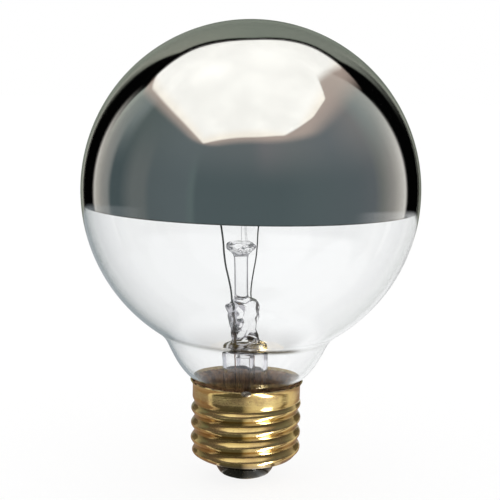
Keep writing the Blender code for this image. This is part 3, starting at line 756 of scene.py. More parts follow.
@dataclass(frozen=True)
class RolledBrass(Finish):
    """Thin rolled brass, browner where it is tarnished, and darker in the thread's grooves than on its crests.
    """

    name: str = "brass"
    clean: Colour = (0.88, 0.69, 0.31)
    tarnished: Colour = (0.54, 0.36, 0.18)
    groove: Colour = (0.50, 0.36, 0.13)
    speck: Colour = (0.20, 0.12, 0.05)
    root_radius: float = 0.0123
    crest_radius: float = 0.01315
    smooth: float = 0.09
    dull: float = 0.19

    def inputs(self, desk: NodeDesk, place: Any) -> dict[str, Any]:
        """Work out the shader's inputs.

        Args:
            desk: Desk of the material's tree.
            place: The piece's own coordinates.

        Returns:
            Values or sockets for the shader's inputs, by name.
        """
        metal = Effects.place(desk, "handled_metal", {"Vector": place})
        # Darker and browner towards the thread's grooves, lighter on its crests.
        crest_share = desk.ramp(Compass(desk, place).reach, self.root_radius, self.crest_radius)
        bare = desk.blend(crest_share, self.groove, self.clean)
        worn = desk.blend(desk.product(metal["Tarnish"], 0.6), bare, self.tarnished)
        dulled = desk.ramp(metal["Tarnish"], 0.0, 1.0, self.smooth, self.dull)
        relief = desk.math("MULTIPLY_ADD", desk.noise(place, 500.0, 2.0), 0.9, metal["Lines"])
        return {
            "Base Color": desk.blend(desk.product(metal["Specks"], 0.5), worn, self.speck),
            "Metallic": 1.0,
            "Roughness": desk.math("MULTIPLY_ADD", metal["Specks"], 0.2, dulled),
            "Normal": desk.bump(relief, 0.5, 0.00003),
        }


@dataclass(frozen=True)
class BlackGlass(Finish):
    """Pressed black glass, glossy, with patches of dusty bloom."""

    name: str = "black_glass"
    colour: Colour = (0.008, 0.008, 0.006)
    dusty: Colour = (0.028, 0.026, 0.018)

    def inputs(self, desk: NodeDesk, place: Any) -> dict[str, Any]:
        """Work out the shader's inputs.

        Args:
            desk: Desk of the material's tree.
            place: The piece's own coordinates.

        Returns:
            Values or sockets for the shader's inputs, by name.
        """
        bloom = desk.ramp(desk.noise(place, 420.0, 5.0, 0.65), 0.45, 0.75)
        return {
            "Base Color": desk.blend(bloom, self.colour, self.dusty),
            "Roughness": desk.ramp(bloom, 0.0, 1.0, 0.10, 0.32),
            "Normal": desk.bump(desk.noise(place, 700.0, 2.0), 0.6, 0.00005),
        }


@dataclass(frozen=True)
class BasingCement(Finish):
    """Baked brown cement with coarse grain and paler crumbs."""

    name: str = "cement"
    dark: Colour = (0.085, 0.038, 0.012)
    light: Colour = (0.42, 0.215, 0.085)

    def inputs(self, desk: NodeDesk, place: Any) -> dict[str, Any]:
        """Work out the shader's inputs.

        Args:
            desk: Desk of the material's tree.
            place: The piece's own coordinates.

        Returns:
            Values or sockets for the shader's inputs, by name.
        """
        grain = desk.noise(place, 900.0, 6.0, 0.7)
        streaks = desk.noise(desk.stretch(place, (1.0, 1.0, 0.25)), 260.0, 4.0, 0.6)
        shade = desk.math("MULTIPLY_ADD", streaks, 0.6, desk.product(grain, 0.4))
        return {
            "Base Color": desk.blend(desk.ramp(shade, 0.38, 0.62), self.dark, self.light),
            "Roughness": desk.ramp(grain, 0.3, 0.7, 0.62, 0.92),
            "Normal": desk.bump(shade, 0.9, 0.0002),
        }


@dataclass(frozen=True)
class SoftSolder(Finish):
    """Solder gone dull and brownish with flux, frosted where it froze last."""

    name: str = "solder"
    bright: Colour = (0.52, 0.47, 0.40)
    frosted: Colour = (0.30, 0.26, 0.22)

    def inputs(self, desk: NodeDesk, place: Any) -> dict[str, Any]:
        """Work out the shader's inputs.

        Args:
            desk: Desk of the material's tree.
            place: The piece's own coordinates.

        Returns:
            Values or sockets for the shader's inputs, by name.
        """
        frost = desk.ramp(desk.noise(place, 1500.0, 5.0, 0.6), 0.4, 0.65)
        return {
            "Base Color": desk.blend(frost, self.bright, self.frosted),
            "Metallic": 1.0,
            "Roughness": desk.ramp(frost, 0.0, 1.0, 0.26, 0.55),
            "Normal": desk.bump(desk.noise(place, 1100.0), 0.8, 0.00006),
        }


@dataclass(frozen=True)
class DrawnWire(Finish):
    """Drawn wire with a patchy oxide skin."""

    bright: Colour
    oxide: Colour
    share: float = 0.5
    smooth: float = 0.22
    dull: float = 0.48

    def inputs(self, desk: NodeDesk, place: Any) -> dict[str, Any]:
        """Work out the shader's inputs.

        Args:
            desk: Desk of the material's tree.
            place: The piece's own coordinates.

        Returns:
            Values or sockets for the shader's inputs, by name.
        """
        metal = Effects.place(desk, "handled_metal", {"Vector": place, "Patch Scale": 700.0})
        return {
            "Base Color": desk.blend(desk.product(metal["Tarnish"], self.share), self.bright, self.oxide),
            "Metallic": 1.0,
            "Roughness": desk.ramp(metal["Tarnish"], 0.0, 1.0, self.smooth, self.dull),
            "Normal": desk.bump(metal["Lines"], 0.3, 0.00001),
        }


class Shop:
    """Hands out finishes, each made once, and puts finished pieces in place."""

    made: dict[str, bpy.types.Material] = {}

    @classmethod
    def dress(cls, piece: bpy.types.Object, finish: Finish, *nodes: str) -> bpy.types.Object:
        """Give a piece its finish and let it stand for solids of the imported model.

        Args:
            piece: The finished piece.
            finish: The finish, whose name is the record's material slot.
            *nodes: The solids that the piece stands for.

        Returns:
            The same piece.
        """
        if finish.name not in cls.made:
            cls.made[finish.name] = finish.material()
        piece.data.materials.clear()
        piece.data.materials.append(cls.made[finish.name])
        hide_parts(*nodes)
        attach(piece, "root")
        return piece

    @staticmethod
    def report(pieces: list[bpy.types.Object]) -> None:
        """Log each piece with its size and its number of faces.

        Args:
            pieces: The finished pieces.
        """
        for piece in pieces:
            size = " x ".join(f"{1000 * side:.1f}" for side in piece.dimensions)
            LOG.info("%s: %s mm, %d faces", piece.name, size, len(piece.data.polygons))


CLEAR_GLASS = LampGlass(
    "clear_glass",
    ripple_scale=45.0,
    ripple_depth=0.00008,
    upright=0.5,
    haze=0.0,
    tint=(0.985, 0.991, 0.993),
    # Height of the painted line of shade where neck meets globe.
    shade_line_height=0.03575,
)
STEM_GLASS = LampGlass("stem_glass", ripple_scale=420.0, ripple_depth=0.00010, upright=0.35, haze=0.05)
NICKEL = DrawnWire("nickel", (0.034, 0.040, 0.037), (0.014, 0.017, 0.015))
SEAL_WIRE = DrawnWire("seal_wire", (0.10, 0.075, 0.065), (0.04, 0.035, 0.035))
COPPER = DrawnWire("copper", (0.36, 0.20, 0.13), (0.13, 0.07, 0.05))
MOLYBDENUM = DrawnWire("molybdenum", (0.80, 0.80, 0.81), (0.52, 0.52, 0.53))
TUNGSTEN = DrawnWire("tungsten", (0.34, 0.34, 0.35), (0.12, 0.12, 0.13), 0.8, 0.3, 0.6)


@dataclass
class Bulb:
    """The blown envelope and the mirror film inside its crown.

    The neck's pulls are shares of its fall from waist to mouth, and the curl's share is of that to the tube.
    """

    radius: float = 0.0395
    wall: float = 0.0007
    centre: float = 0.0693765
    join_angle: float = math.radians(33.4)
    fillet: float = 0.0080
    flare_angle: float = math.radians(25.8)
    mouth_angle: float = math.radians(55)
    mouth: tuple[float, float] = (0.0122, 0.0241)
    tube_radius: float = 0.0102
    tube_top: float = 0.0203
    tube_end: float = 0.0136
    neck_pulls: tuple[float, float] = (0.38, 0.48)
    curl_share: float = 1 / 2.4
    mirror_radius: float = 0.03876
    mirror_wall: float = 0.0003
    mirror_drop: float = 0.0034
    steps: int = 192

    def outline(self, skin: Skin) -> Outline:
        """Draw one face of the glass from the crown to the end of the neck's tube.

        Args:
            skin: The outer or the inner face.

        Returns:
            Its points of radius and height.
        """
        inset = self.wall * skin.value
        radius, fillet = self.radius - inset, self.fillet + inset
        points = arc_outline((0, self.centre), radius, math.pi / 2, self.join_angle - math.pi / 2, 74)
        points[0] = (0, self.centre + radius)
        reach = radius + fillet
        turn = (reach * math.sin(self.join_angle), self.centre - reach * math.cos(self.join_angle))
        start = math.pi / 2 + self.join_angle
        points += arc_outline(turn, fillet, start, math.pi - self.flare_angle, 10)[1:]
        waist = points[-1]
        across = Vector((math.sin(self.mouth_angle), math.cos(self.mouth_angle)))
        mouth = Vector(self.mouth) + inset * Vector((-across.y, across.x))
        top = Vector((self.tube_radius - inset, self.tube_top))
        fall = waist[1] - mouth.y
        first, last = (pull * fall for pull in self.neck_pulls)
        lead = (waist[0] - first * math.tan(self.flare_angle), waist[1] - first)
        points += curve_outline(waist, lead, mouth + last * across, mouth, 16)
        curl = (mouth.y - top.y) * self.curl_share
        points += curve_outline(mouth, mouth - curl * across, top + Vector((0, curl)), top, 12)
        points += [(top.x, self.tube_top + (self.tube_end - self.tube_top) * i / 4) for i in range(1, 5)]
        return points

    def build_glass(self) -> bpy.types.Object:
        """Spin the envelope from its two faces.

        Returns:
            The finished piece.
        """
        outline = self.outline(Skin.OUTER) + self.outline(Skin.INNER)[::-1]
        glass = Bench.lathe("blown_globe", outline, self.steps)
        return Shop.dress(glass, CLEAR_GLASS, "glass_bulb")

    def build_mirror(self) -> bpy.types.Object:
        """Cut the film from a sphere at its level edge and give it its wall.

        Returns:
            The finished piece.
        """
        Bench.clear()
        bpy.ops.mesh.primitive_uv_sphere_add(
            segments=self.steps, ring_count=96, radius=self.mirror_radius, location=(0, 0, self.centre)
        )
        film = Bench.name_new("mirror_film")
        bpy.ops.object.mode_set(mode="EDIT")
        bpy.ops.mesh.select_all(action="SELECT")
        edge = self.centre - self.mirror_drop
        bpy.ops.mesh.bisect(plane_co=(0, 0, edge), plane_no=(0, 0, 1), clear_inner=True, use_fill=False)
        Bench.settle(film)
        Bench.thicken(film, self.mirror_wall, math.radians(35))
        return Shop.dress(film, MirrorFilm(), "mirror_crown")

    def build(self) -> list[bpy.types.Object]:
        """Build the envelope and its mirror."""
        return [self.build_glass(), self.build_mirror()]


@dataclass
class ScrewBase:
    """The rolled shell with everything that is set in it.

    The thread fades in and out over a height, and the bed is the room between the cement and its neighbours.
    """

    gap: float = 0.0003
    shell_wall: float = 0.0003
    shell_end: float = 0.0042
    rim: float = 0.0241
    collar_end: float = 0.0195
    collar_radius: float = 0.01285
    lip_flare: float = 0.00057
    lip_height: float = 0.0013
    pitch: float = 0.0254 / 7
    crest_radius: float = 0.01315
    root_radius: float = 0.0123
    lead_in_turns: float = 0.146
    fade: float = 0.0016
    shoulder_height: float = 0.0034
    mouth_radius: float = 0.0073
    insulator_top: float = 0.0068
    insulator_bottom: float = 0.0012
    insulator_base_radius: float = 0.0053
    insulator_hole_radius: float = 0.0014
    contact_radius: float = 0.0044
    contact_bottom: float = 0.0007
    contact_thickness: float = 0.0005
    contact_hole_radius: float = 0.0009
    recess_top: float = 0.0015
    solder_radius: float = 0.0023
    solder_tip_radius: float = 0.0012
    solder_thickness: float = 0.0004
    cement_top: float = 0.0236
    bed: float = 0.00008
    bevel: float = 0.0001
    skirt_drop: float = 0.0014
    slot_size: tuple[float, float, float] = (0.0014, 0.01285, 0.04)
    slot_middle: float = 0.0142
    lump_size: tuple[float, float, float] = (0.0024, 0.0016, 0.0013)
    steps: int = 192

    @property
    def mean_radius(self) -> float:
        """Radius of the shell's outer face halfway between crest and groove."""
        return (self.crest_radius + self.root_radius) / 2

    def lip(self, steps: int) -> Outline:
        """Draw the outer face of the flared lip down to the collar.

        Args:
            steps: Number of steps along its curve.

        Returns:
            Its points of radius and height.
        """
        start = (self.collar_radius + self.lip_flare, self.rim)
        curve = curve_outline(
            start,
            (self.collar_radius + 0.5 * self.lip_flare, self.rim - 0.3 * self.lip_height),
            (self.collar_radius, self.rim - 0.6 * self.lip_height),
            (self.collar_radius, self.rim - self.lip_height),
            steps,
        )
        return [start, *curve]

    def taper(self, steps: int) -> Outline:
        """Draw the rounded taper under the thread, down to the shell's lower end.

        Args:
            steps: Number of steps along its curve.

        Returns:
            Its points of radius and height.
        """
        start = (self.mean_radius, self.shell_end + self.shoulder_height)
        end = (self.mouth_radius, self.shell_end)
        width = start[0] - end[0]
        return curve_outline(
            start,
            (start[0], start[1] - 0.62 * self.shoulder_height),
            (end[0] + 0.50 * width, end[1] + 0.30 * self.shoulder_height),
            end,
            steps,
        )

    def shell_skin(self) -> Outline:
        """Draw the shell's outer face without its thread.

        Returns:
            Its points of radius and height.
        """
        points = self.lip(8)
        mean, low = self.mean_radius, self.shell_end + self.shoulder_height
        fade_top = self.collar_end + self.fade / 2
        lip_end = points[-1][1]
        points += [(self.collar_radius, lip_end + (fade_top - lip_end) * i / 4) for i in (1, 2, 3)]
        rows = math.ceil((fade_top - low) / (self.pitch / 18))
        for i in range(rows + 1):
            height = fade_top + (low - fade_top) * i / rows
            share = min(1.0, (fade_top - height) / self.fade)
            points.append((self.collar_radius + (mean - self.collar_radius) * share, height))
        return points + self.taper(20)

    def thread_rise(self, height: float, angle: float) -> float:
        """Give how far the rolled thread stands out of the mean skin.

        Args:
            height: Height of the point.
            angle: Its angle about Z, in radians.

        Returns:
            The rise, below nothing in a groove.
        """
        top_share = (self.collar_end + self.fade / 2 - height) / self.fade
        low_share = (height - self.shell_end - 0.4 * self.shoulder_height) / self.fade
        share = max(0.0, min(1.0, top_share, low_share))
        turns = (height - self.collar_end) / self.pitch - angle / FULL_TURN
        wave = math.cos(FULL_TURN * (turns + self.lead_in_turns))
        return (self.crest_radius - self.root_radius) / 2 * share * wave

    def roll_thread(self, point: Vector) -> Vector:
        """Move a point of the skin in or out with the thread.

        Args:
            point: A point of the plain skin.

        Returns:
            Its place on the thread.
        """
        radius = math.hypot(point.x, point.y)
        angle = math.atan2(point.y, point.x)
        scale = 1 + self.thread_rise(point.z, angle) / radius
        return Vector((point.x * scale, point.y * scale, point.z))

    def build_shell(self) -> bpy.types.Object:
        """Spin the sheet, roll its thread, and give it its wall and its rounded rims.

        Returns:
            The finished piece.
        """
        shell = Bench.lathe("rolled_shell", self.shell_skin(), self.steps)
        Bench.move_points(shell, self.roll_thread)
        Bench.thicken(shell, self.shell_wall, math.radians(50))
        return Shop.dress(shell, RolledBrass(), "screw_shell")

    def build_insulator(self) -> bpy.types.Object:
        """Spin the black glass from its seat in the taper to its recessed foot.

        Returns:
            The finished piece.
        """
        taper = self.taper(20)
        top = self.insulator_top - self.gap
        seated = [p for p in offset_outline(taper, -self.shell_wall - self.gap) if p[1] < top]
        waist = min(p[0] for p in offset_outline(taper, -self.shell_wall)) - self.gap
        seated = [p for p in seated if p[0] > waist]
        flange = self.shell_end - self.gap
        wide = self.mouth_radius - 0.5 * self.gap
        foot = self.insulator_bottom
        skirt = curve_outline(
            (wide, flange - self.gap / 2),
            (wide - self.gap, flange - self.skirt_drop),
            (0.65 * self.insulator_base_radius + 0.35 * self.mouth_radius, foot),
            (self.insulator_base_radius, foot),
            18,
        )
        recess = self.contact_radius + self.gap
        outline = [
            (self.insulator_hole_radius, self.insulator_top),
            (seated[0][0], self.insulator_top),
            *seated,
            (waist, seated[-1][1]),
            (waist, flange),
            (wide - self.gap / 2, flange),
            (wide, flange - self.gap / 2),
            *skirt,
            (recess + self.bevel, foot),
            (recess, foot + self.bevel),
            (recess, self.recess_top),
            (self.insulator_hole_radius, self.recess_top),
            (self.insulator_hole_radius, self.insulator_top),
        ]
        insulator = Bench.lathe("black_insulator", outline, self.steps)
        return Shop.dress(insulator, BlackGlass(), "base_insulator")

    def build_contact(self) -> list[bpy.types.Object]:
        """Spin the contact disc, and the flattened drop of solder in its hole.

        Returns:
            The disc and the drop.
        """
        low, top = self.contact_bottom, self.contact_bottom + self.contact_thickness
        edge = self.contact_thickness / 2
        rim = arc_outline((self.contact_radius - edge, low + edge), edge, -math.pi / 2, 0, 6)
        disc_outline = [
            (self.contact_hole_radius, low + edge / 3),
            (self.contact_hole_radius + edge / 3, low),
            *rim,
            (self.contact_radius, top),
            (self.contact_hole_radius, top),
            (self.contact_hole_radius, low + edge / 3),
        ]
        disc = Bench.lathe("contact_disc", disc_outline, 96)
        Shop.dress(disc, RolledBrass(), "centre_contact")
        tip, reach, height = self.solder_tip_radius, self.solder_radius, self.solder_thickness
        belly = (0.45 * tip + 0.55 * reach, 0)
        dome = curve_outline((tip, 0), belly, (reach, 0.35 * height), (reach, height), 10)
        drop_outline = [(0, 0), (0.5 * tip, 0), (tip, 0), *dome, (0, height)]
        drop = Bench.lathe("contact_drop", drop_outline, 72)
        Shop.dress(drop, SoftSolder(), "contact_solder")
        return [disc, drop]

    def build_cement(self) -> bpy.types.Object:
        """Spin the cement ring and slot it for the side wire.

        Returns:
            The finished piece.
        """
        glass = Bulb().outline(Skin.OUTER)
        below = [p for p in glass if p[1] < self.cement_top]
        inner = [(r, min(z, self.cement_top)) for r, z in offset_outline(below, self.bed)]
        inner[-1] = (Bulb.tube_radius + self.bed, Bulb.tube_end)
        root = self.root_radius - self.shell_wall - self.gap
        collar = self.collar_radius - self.shell_wall - self.bed
        foot = self.collar_end + self.fade / 2 + self.gap
        lip = [(r - self.shell_wall - self.bed, z) for r, z in self.lip(8)[::-1] if z < self.cement_top]
        outline = [
            (root, Bulb.tube_end),
            (root, foot - (collar - root)),
            (collar, foot),
            *lip,
            (lip[-1][0] + self.bevel / 2, self.cement_top),
            *inner,
            (root, Bulb.tube_end),
        ]
        ring = Bench.lathe("cement_ring", outline, 120)
        Bench.clear()
        middle = (0, -Bulb.tube_radius + self.gap - self.slot_size[1] / 2, self.slot_middle)
        bpy.ops.mesh.primitive_cube_add(size=1.0, location=middle)
        slot = Bench.name_new("wire_slot")
        slot.scale = self.slot_size
        Bench.apply_place()
        Bench.cut(ring, slot)
        return Shop.dress(ring, BasingCement(), "base_cement")

    def build_side_solder(self) -> bpy.types.Object:
        """Mould the lump of solder against the outside of the lip.

        Returns:
            The finished piece.
        """
        reach = self.collar_radius + self.lip_flare + self.gap
        height = self.lump_size[2]
        Bench.clear()
        bpy.ops.mesh.primitive_uv_sphere_add(
            segments=32, ring_count=20, radius=1.0, location=(0, -reach, self.rim)
        )
        lump = Bench.name_new("rim_solder")
        lump.scale = Vector(self.lump_size) / 2
        Bench.apply_place()
        face = offset_outline(self.lip(8), self.gap)
        seat_outline = [
            (0, self.rim + height),
            (reach, self.rim + height),
            *face,
            (face[-1][0], self.rim - 2 * height),
            (0, self.rim - 2 * height),
        ]
        Bench.cut(lump, Bench.lathe("lip_seat", seat_outline, self.steps))
        Bench.settle(lump)
        return Shop.dress(lump, SoftSolder(), "side_solder")

    def build(self) -> list[bpy.types.Object]:
        """Build the shell and all that is set in it.

        Returns:
            The finished pieces.
        """
        return [
            self.build_shell(),
            self.build_insulator(),
            *self.build_contact(),
            self.build_cement(),
            self.build_side_solder(),
        ]


@dataclass
class Mount:
    """The fused glass stem with its wires and the coiled filament, leaning a little.

    Heights are above the seal, except the exhaust's end. A bow is given by its start, end and shift, and dents
    and lumps by the size and depth of their pattern. The leads' knots and the supports' knee are shares of the
    way out and up.
    """

    lean: float = math.radians(2.8)
    turn: float = math.radians(52)
    seal: float = 0.0144
    flare_radius: float = 0.0092
    flare_rim: float = 0.0004
    flare_height: float = 0.0075
    tube_radius: float = 0.0054
    wall: float = 0.0009
    press_base: float = 0.0168
    press_top: float = 0.0292
    press_half_width: float = 0.0055
    press_half_thickness: float = 0.0025
    ring_step: float = 0.0005
    shoulder: float = 0.0183
    vent_radius: float = 0.0007
    vent_bulge: float = 0.0017
    vent_offset: float = 0.0016
    vent_height: float = 0.0199
    bows: tuple[tuple[float, float, float], ...] = ((0.0187, 0.0235, -0.00025), (0.0265, 0.0302, -0.00050))
    dents: tuple[float, float] = (0.0028, -0.0009)
    lumps: tuple[float, float] = (0.0015, 0.0010)
    exhaust_radius: float = 0.0020
    exhaust_wall: float = 0.0007
    exhaust_top: float = 0.0164
    exhaust_end: float = 0.0102
    rod_radius: float = 0.0016
    rod_base: float = 0.0295
    rod_length: float = 0.0111
    button_radius: float = 0.00335
    button_thickness: float = 0.0026
    lead_radius: float = 0.00025
    inner_lead_radii: tuple[float, float] = (0.00022, 0.00016)
    side_lead_radius: float = 0.00016
    lead_half_spacing: float = 0.0036
    lead_spread: float = 0.0068
    lead_knots: tuple[tuple[float, float], ...] = (
        (0.00, 0.03), (0.09, 0.10), (0.33, 0.19), (0.64, 0.29), (0.82, 0.39), (1.00, 0.54),
    )
    insertion: float = 0.0020
    support_radius: float = 0.00004
    support_count: int = 3
    support_foot: float = 0.0016
    support_sink: float = 0.0010
    support_rise: float = 0.0060
    support_knee: tuple[float, float] = (0.62, 0.72)
    filament_radius: float = 0.00035
    filament_arc: float = 0.0085
    filament_height: float = 0.0606
    filament_wire: float = 0.00004
    filament_pitch: float = 0.00016
    tail_angle: float = math.radians(6)
    gap: float = 0.0003

    @property
    def stance(self) -> Matrix:
        """Place of the mount in the lamp, at the seal, turned and leaning."""
        turned = Matrix.Rotation(self.turn, 4, "Z") @ Matrix.Rotation(-self.lean, 4, "Y")
        return Matrix.Translation((0, 0, self.seal)) @ turned

    @property
    def button_base(self) -> float:
        """Height of the button's base above the seal."""
        return self.rod_base + self.rod_length

    @property
    def button_top(self) -> float:
        """Height of the button's top above the seal."""
        return self.button_base + self.button_thickness

    @property
    def flare_edge(self) -> float:
        """Radius of the flare's edge, which is level in the leaning stem's seal."""
        return self.flare_radius * math.cos(self.lean) - self.wall * math.sin(self.lean)

    def bow(self, height: float) -> float:
        """Give how far the worked glass has sagged aside at a height above the seal.

        Args:
            height: Height above the seal.

        Returns:
            The shift along the mount's width.
        """
        shift = 0.0
        for start, end, amount in self.bows:
            share = max(0.0, min(1.0, (height - start) / (end - start)))
            shift += amount * share * share * (3 - 2 * share)
        return shift

    def stand(self, piece: bpy.types.Object) -> bpy.types.Object:
        """Put a piece that was modelled upright at the origin into the mount's stance.

        Args:
            piece: The upright piece.

        Returns:
            The same piece.
        """
        stance = self.stance

        def leant(point: Vector) -> Vector:
            """Give the place of a point of the leaning, bowed mount."""
            return stance @ point + Vector((self.bow(point.z), 0, 0))

        Bench.move_points(piece, leant)
        return piece

    def outer_rings(self) -> Rings:
        """List the stem's outer levels from the flare's edge to the top of the button.

        Returns:
            Half width, half depth and height of each level.
        """
        edge, low = self.flare_edge, -self.flare_rim
        top = low + self.wall
        outline = [(edge - 0.0002, low), (edge, low + 0.35 * self.wall), (edge, top)]
        outline += curve_outline(
            (edge, top),
            (edge - 0.55 * (edge - self.tube_radius), top),
            (self.tube_radius, 0.35 * self.flare_height),
            (self.tube_radius, self.flare_height),
            9,
        )
        levels = (0.0105, 0.0135, 0.0160, self.shoulder - 0.0010, self.shoulder - 0.0007)
        rings = round_rings(outline + [(self.tube_radius, z) for z in levels])
        press = [
            (0.97, 2.10, self.shoulder - 0.00025),
            (0.90, 1.75, self.shoulder),
            (0.81, 1.20, self.shoulder + 0.0003),
            (0.78, 0.92, 0.0196),
            (0.77, 0.80, 0.0210),
            (0.80, 0.78, 0.0226),
            (0.88, 0.86, 0.0242),
            (0.96, 0.98, 0.0260),
            (1.00, 1.03, 0.0275),
            (0.99, 1.00, 0.0285),
            (0.88, 0.90, 0.0290),
        ]
        for lower, upper in zip(press, [*press[1:], press[-1]]):
            steps = max(1, round((upper[2] - lower[2]) / self.ring_step))
            for i in range(steps):
                width, thickness, z = (a + (b - a) * i / steps for a, b in zip(lower, upper))
                rings.append((self.press_half_width * width, self.press_half_thickness * thickness, z))
        rod = self.rod_radius
        rings.append((1.9 * rod, 1.2 * rod, self.press_top - 0.0001))
        rings.append((1.12 * rod, 1.06 * rod, self.rod_base + 0.0002))
        rings += round_rings([(rod, self.rod_base + 0.0009 + 0.0017 * i) for i in range(5)])
        base, thick, wide = self.button_base, self.button_thickness, self.button_radius
        button = [
            (rod + 0.02 * (wide - rod), base - 0.55 * thick),
            (rod + 0.08 * (wide - rod), base - 0.30 * thick),
            (rod + 0.22 * (wide - rod), base - 0.08 * thick),
            (rod + 0.48 * (wide - rod), base + 0.08 * thick),
            (0.82 * wide, base + 0.20 * thick),
            (0.95 * wide, base + 0.36 * thick),
            (wide, base + 0.52 * thick),
            (0.96 * wide, base + 0.70 * thick),
            (0.84 * wide, base + 0.86 * thick),
            (0.62 * wide, base + 0.96 * thick),
            (0.42 * wide, base + 0.99 * thick),
            (0.20 * wide, base + thick),
        ]
        return rings + round_rings(button)

    def inner_rings(self) -> Rings:
        """List the levels of the hollow in the stem, from the flare's mouth upwards.

        Returns:
            Half width, half depth and height of each level.
        """
        edge, low, bore = self.flare_edge, -self.flare_rim, self.tube_radius - self.wall
        mouth = [(edge - self.wall, low - 0.0005), (edge - self.wall, low)]
        mouth += curve_outline(
            (edge - self.wall, low),
            (edge - 0.60 * (edge - bore), low),
            (bore, 0.35 * self.flare_height - self.wall),
            (bore, self.flare_height),
            9,
        )
        top = self.shoulder - 0.0003
        levels = (0.0115, 0.0140, 0.0156, self.shoulder - 0.0010)
        mouth += [*((bore, z) for z in levels), (0.99 * bore, top - 0.0003)]
        crown = [(0.92 * bore, 0.91 * bore, top - 0.00004), (0.45 * bore, 0.40 * bore, top)]
        return round_rings(mouth) + crown

    def dent(self, stem: bpy.types.Object) -> None:
        """Pinch facets into the press and lumps into the button, as the burner and the tongs leave them.

        Args:
            stem: The upright stem.
        """
        regions = (
            ("press_facets", "VORONOI", self.shoulder + 0.0006, self.rod_base, *self.dents),
            ("button_lumps", "CLOUDS", self.button_base - 0.0004, self.button_top, *self.lumps),
        )
        for name, kind, low, high, size, depth in regions:
            group = stem.vertex_groups.new(name=name)
            for vertex in stem.data.vertices:
                rise = min((vertex.co.z - low) / 0.0012, (high + 0.0006 - vertex.co.z) / 0.0010)
                if rise > 0:
                    group.add([vertex.index], min(1.0, rise), "REPLACE")
            pattern = bpy.data.textures.new(name, kind)
            pattern.noise_scale = size
            settings = {"texture": pattern, "texture_coords": "LOCAL", "vertex_group": name}
            Bench.add_modifier(stem, "DISPLACE", strength=depth, mid_level=0.45, **settings)

    def build_stem(self) -> bpy.types.Object:
        """Raise the stem ring by ring, hollow its tube and fuse on the vent's bulge.

        Returns:
            The finished piece.
        """
        stem = Bench.raise_rings("fused_stem", self.outer_rings(), 32)
        Bench.round_off(stem)
        self.dent(stem)
        hollow = Bench.raise_rings("hollow", self.inner_rings(), 32)
        Bench.round_off(hollow)
        Bench.clear()
        middle = (0, -self.vent_offset, self.vent_height)
        bpy.ops.mesh.primitive_uv_sphere_add(
            segments=48, ring_count=24, radius=self.vent_bulge, location=middle
        )
        bulge = Bench.name_new("vent_bulge")
        Bench.apply_place()
        Bench.cut(stem, bulge, "UNION")
        Bench.cut(stem, hollow)
        start = upright(self.shoulder - 0.0014)
        end = Vector((0, -self.vent_offset - 2 * self.vent_bulge, self.vent_height + 0.6 * self.vent_bulge))
        Bench.clear()
        bpy.ops.mesh.primitive_cylinder_add(vertices=32, radius=self.vent_radius, depth=(end - start).length)
        vent = Bench.name_new("vent")
        turn = upright(1).rotation_difference(end - start).to_matrix().to_4x4()
        vent.matrix_world = Matrix.Translation((start + end) / 2) @ turn
        Bench.apply_place()
        Bench.cut(stem, vent)
        self.stand(stem)
        Bench.settle(stem, math.radians(40))
        return Shop.dress(stem, STEM_GLASS, "stem_tube", "stem_rod")

    def build_exhaust(self) -> bpy.types.Object:
        """Spin the exhaust tube with its melted tip.

        Returns:
            The finished piece.
        """
        top, low = self.exhaust_top, (self.exhaust_end - self.seal) / math.cos(self.lean)
        wide, bore = self.exhaust_radius, self.exhaust_radius - self.exhaust_wall
        tip = curve_outline((0, low), (0.6 * wide, low), (wide, low + wide), (wide, low + 2 * wide), 12)
        hollow = curve_outline(
            (bore, low + 2 * wide), (bore, low + 1.3 * wide), (0.6 * bore, low + wide), (0, low + wide), 10
        )
        outline = [(0, low), *tip, (wide, top), (bore, top), (bore, low + 2 * wide), *hollow]
        tube = Bench.lathe("exhaust_glass", outline, 64)
        return Shop.dress(self.stand(tube), STEM_GLASS, "exhaust_tube")

    def support_directions(self) -> list[Vector]:
        """Give the level directions of the supports along the filament's half circle."""
        angles = [-math.pi * (i + 1) / (self.support_count + 1) for i in range(self.support_count)]
        return [Vector((math.cos(a), math.sin(a), 0)) for a in angles]

    def hook(self, direction: Vector, bend: float, steps: int) -> list[Vector]:
        """Bend half a turn of wire over the filament.

        Args:
            direction: Level direction from the mount's axis to the filament.
            bend: Radius of the bend.
            steps: Number of steps in the half turn.

        Returns:
            The points of the hook, from its outer side.
        """
        points = []
        for i in range(steps + 1):
            angle = math.pi * i / steps
            reach = self.filament_arc + bend * math.cos(angle)
            points.append(direction * reach + upright(self.filament_height + bend * math.sin(angle)))
        return points

    def build_supports(self) -> list[bpy.types.Object]:
        """Draw the support wires from the button up to their hooks.

        Returns:
            The finished pieces.
        """
        bend = self.filament_radius + self.gap + self.support_radius
        out, up = self.support_knee
        pieces = []
        for i, direction in enumerate(self.support_directions()):
            foot = direction * self.support_foot
            low = foot + upright(self.button_top - self.support_sink)
            clear = foot + upright(self.button_top + self.support_rise)
            rise = direction * (self.filament_arc + bend)
            knee = clear.lerp(rise, out)
            knee.z = self.button_top + up * (self.filament_height - self.button_top)
            shoulder = rise + upright(self.filament_height - 3 * bend)
            path = smooth_path([low, clear, knee, shoulder], 10) + self.hook(direction, bend, 16)
            wire = Bench.draw_wire(f"filament_support_{i + 1}", path, self.support_radius, 8)
            pieces.append(Shop.dress(self.stand(wire), MOLYBDENUM, f"support_wire_{i + 1}"))
        return pieces

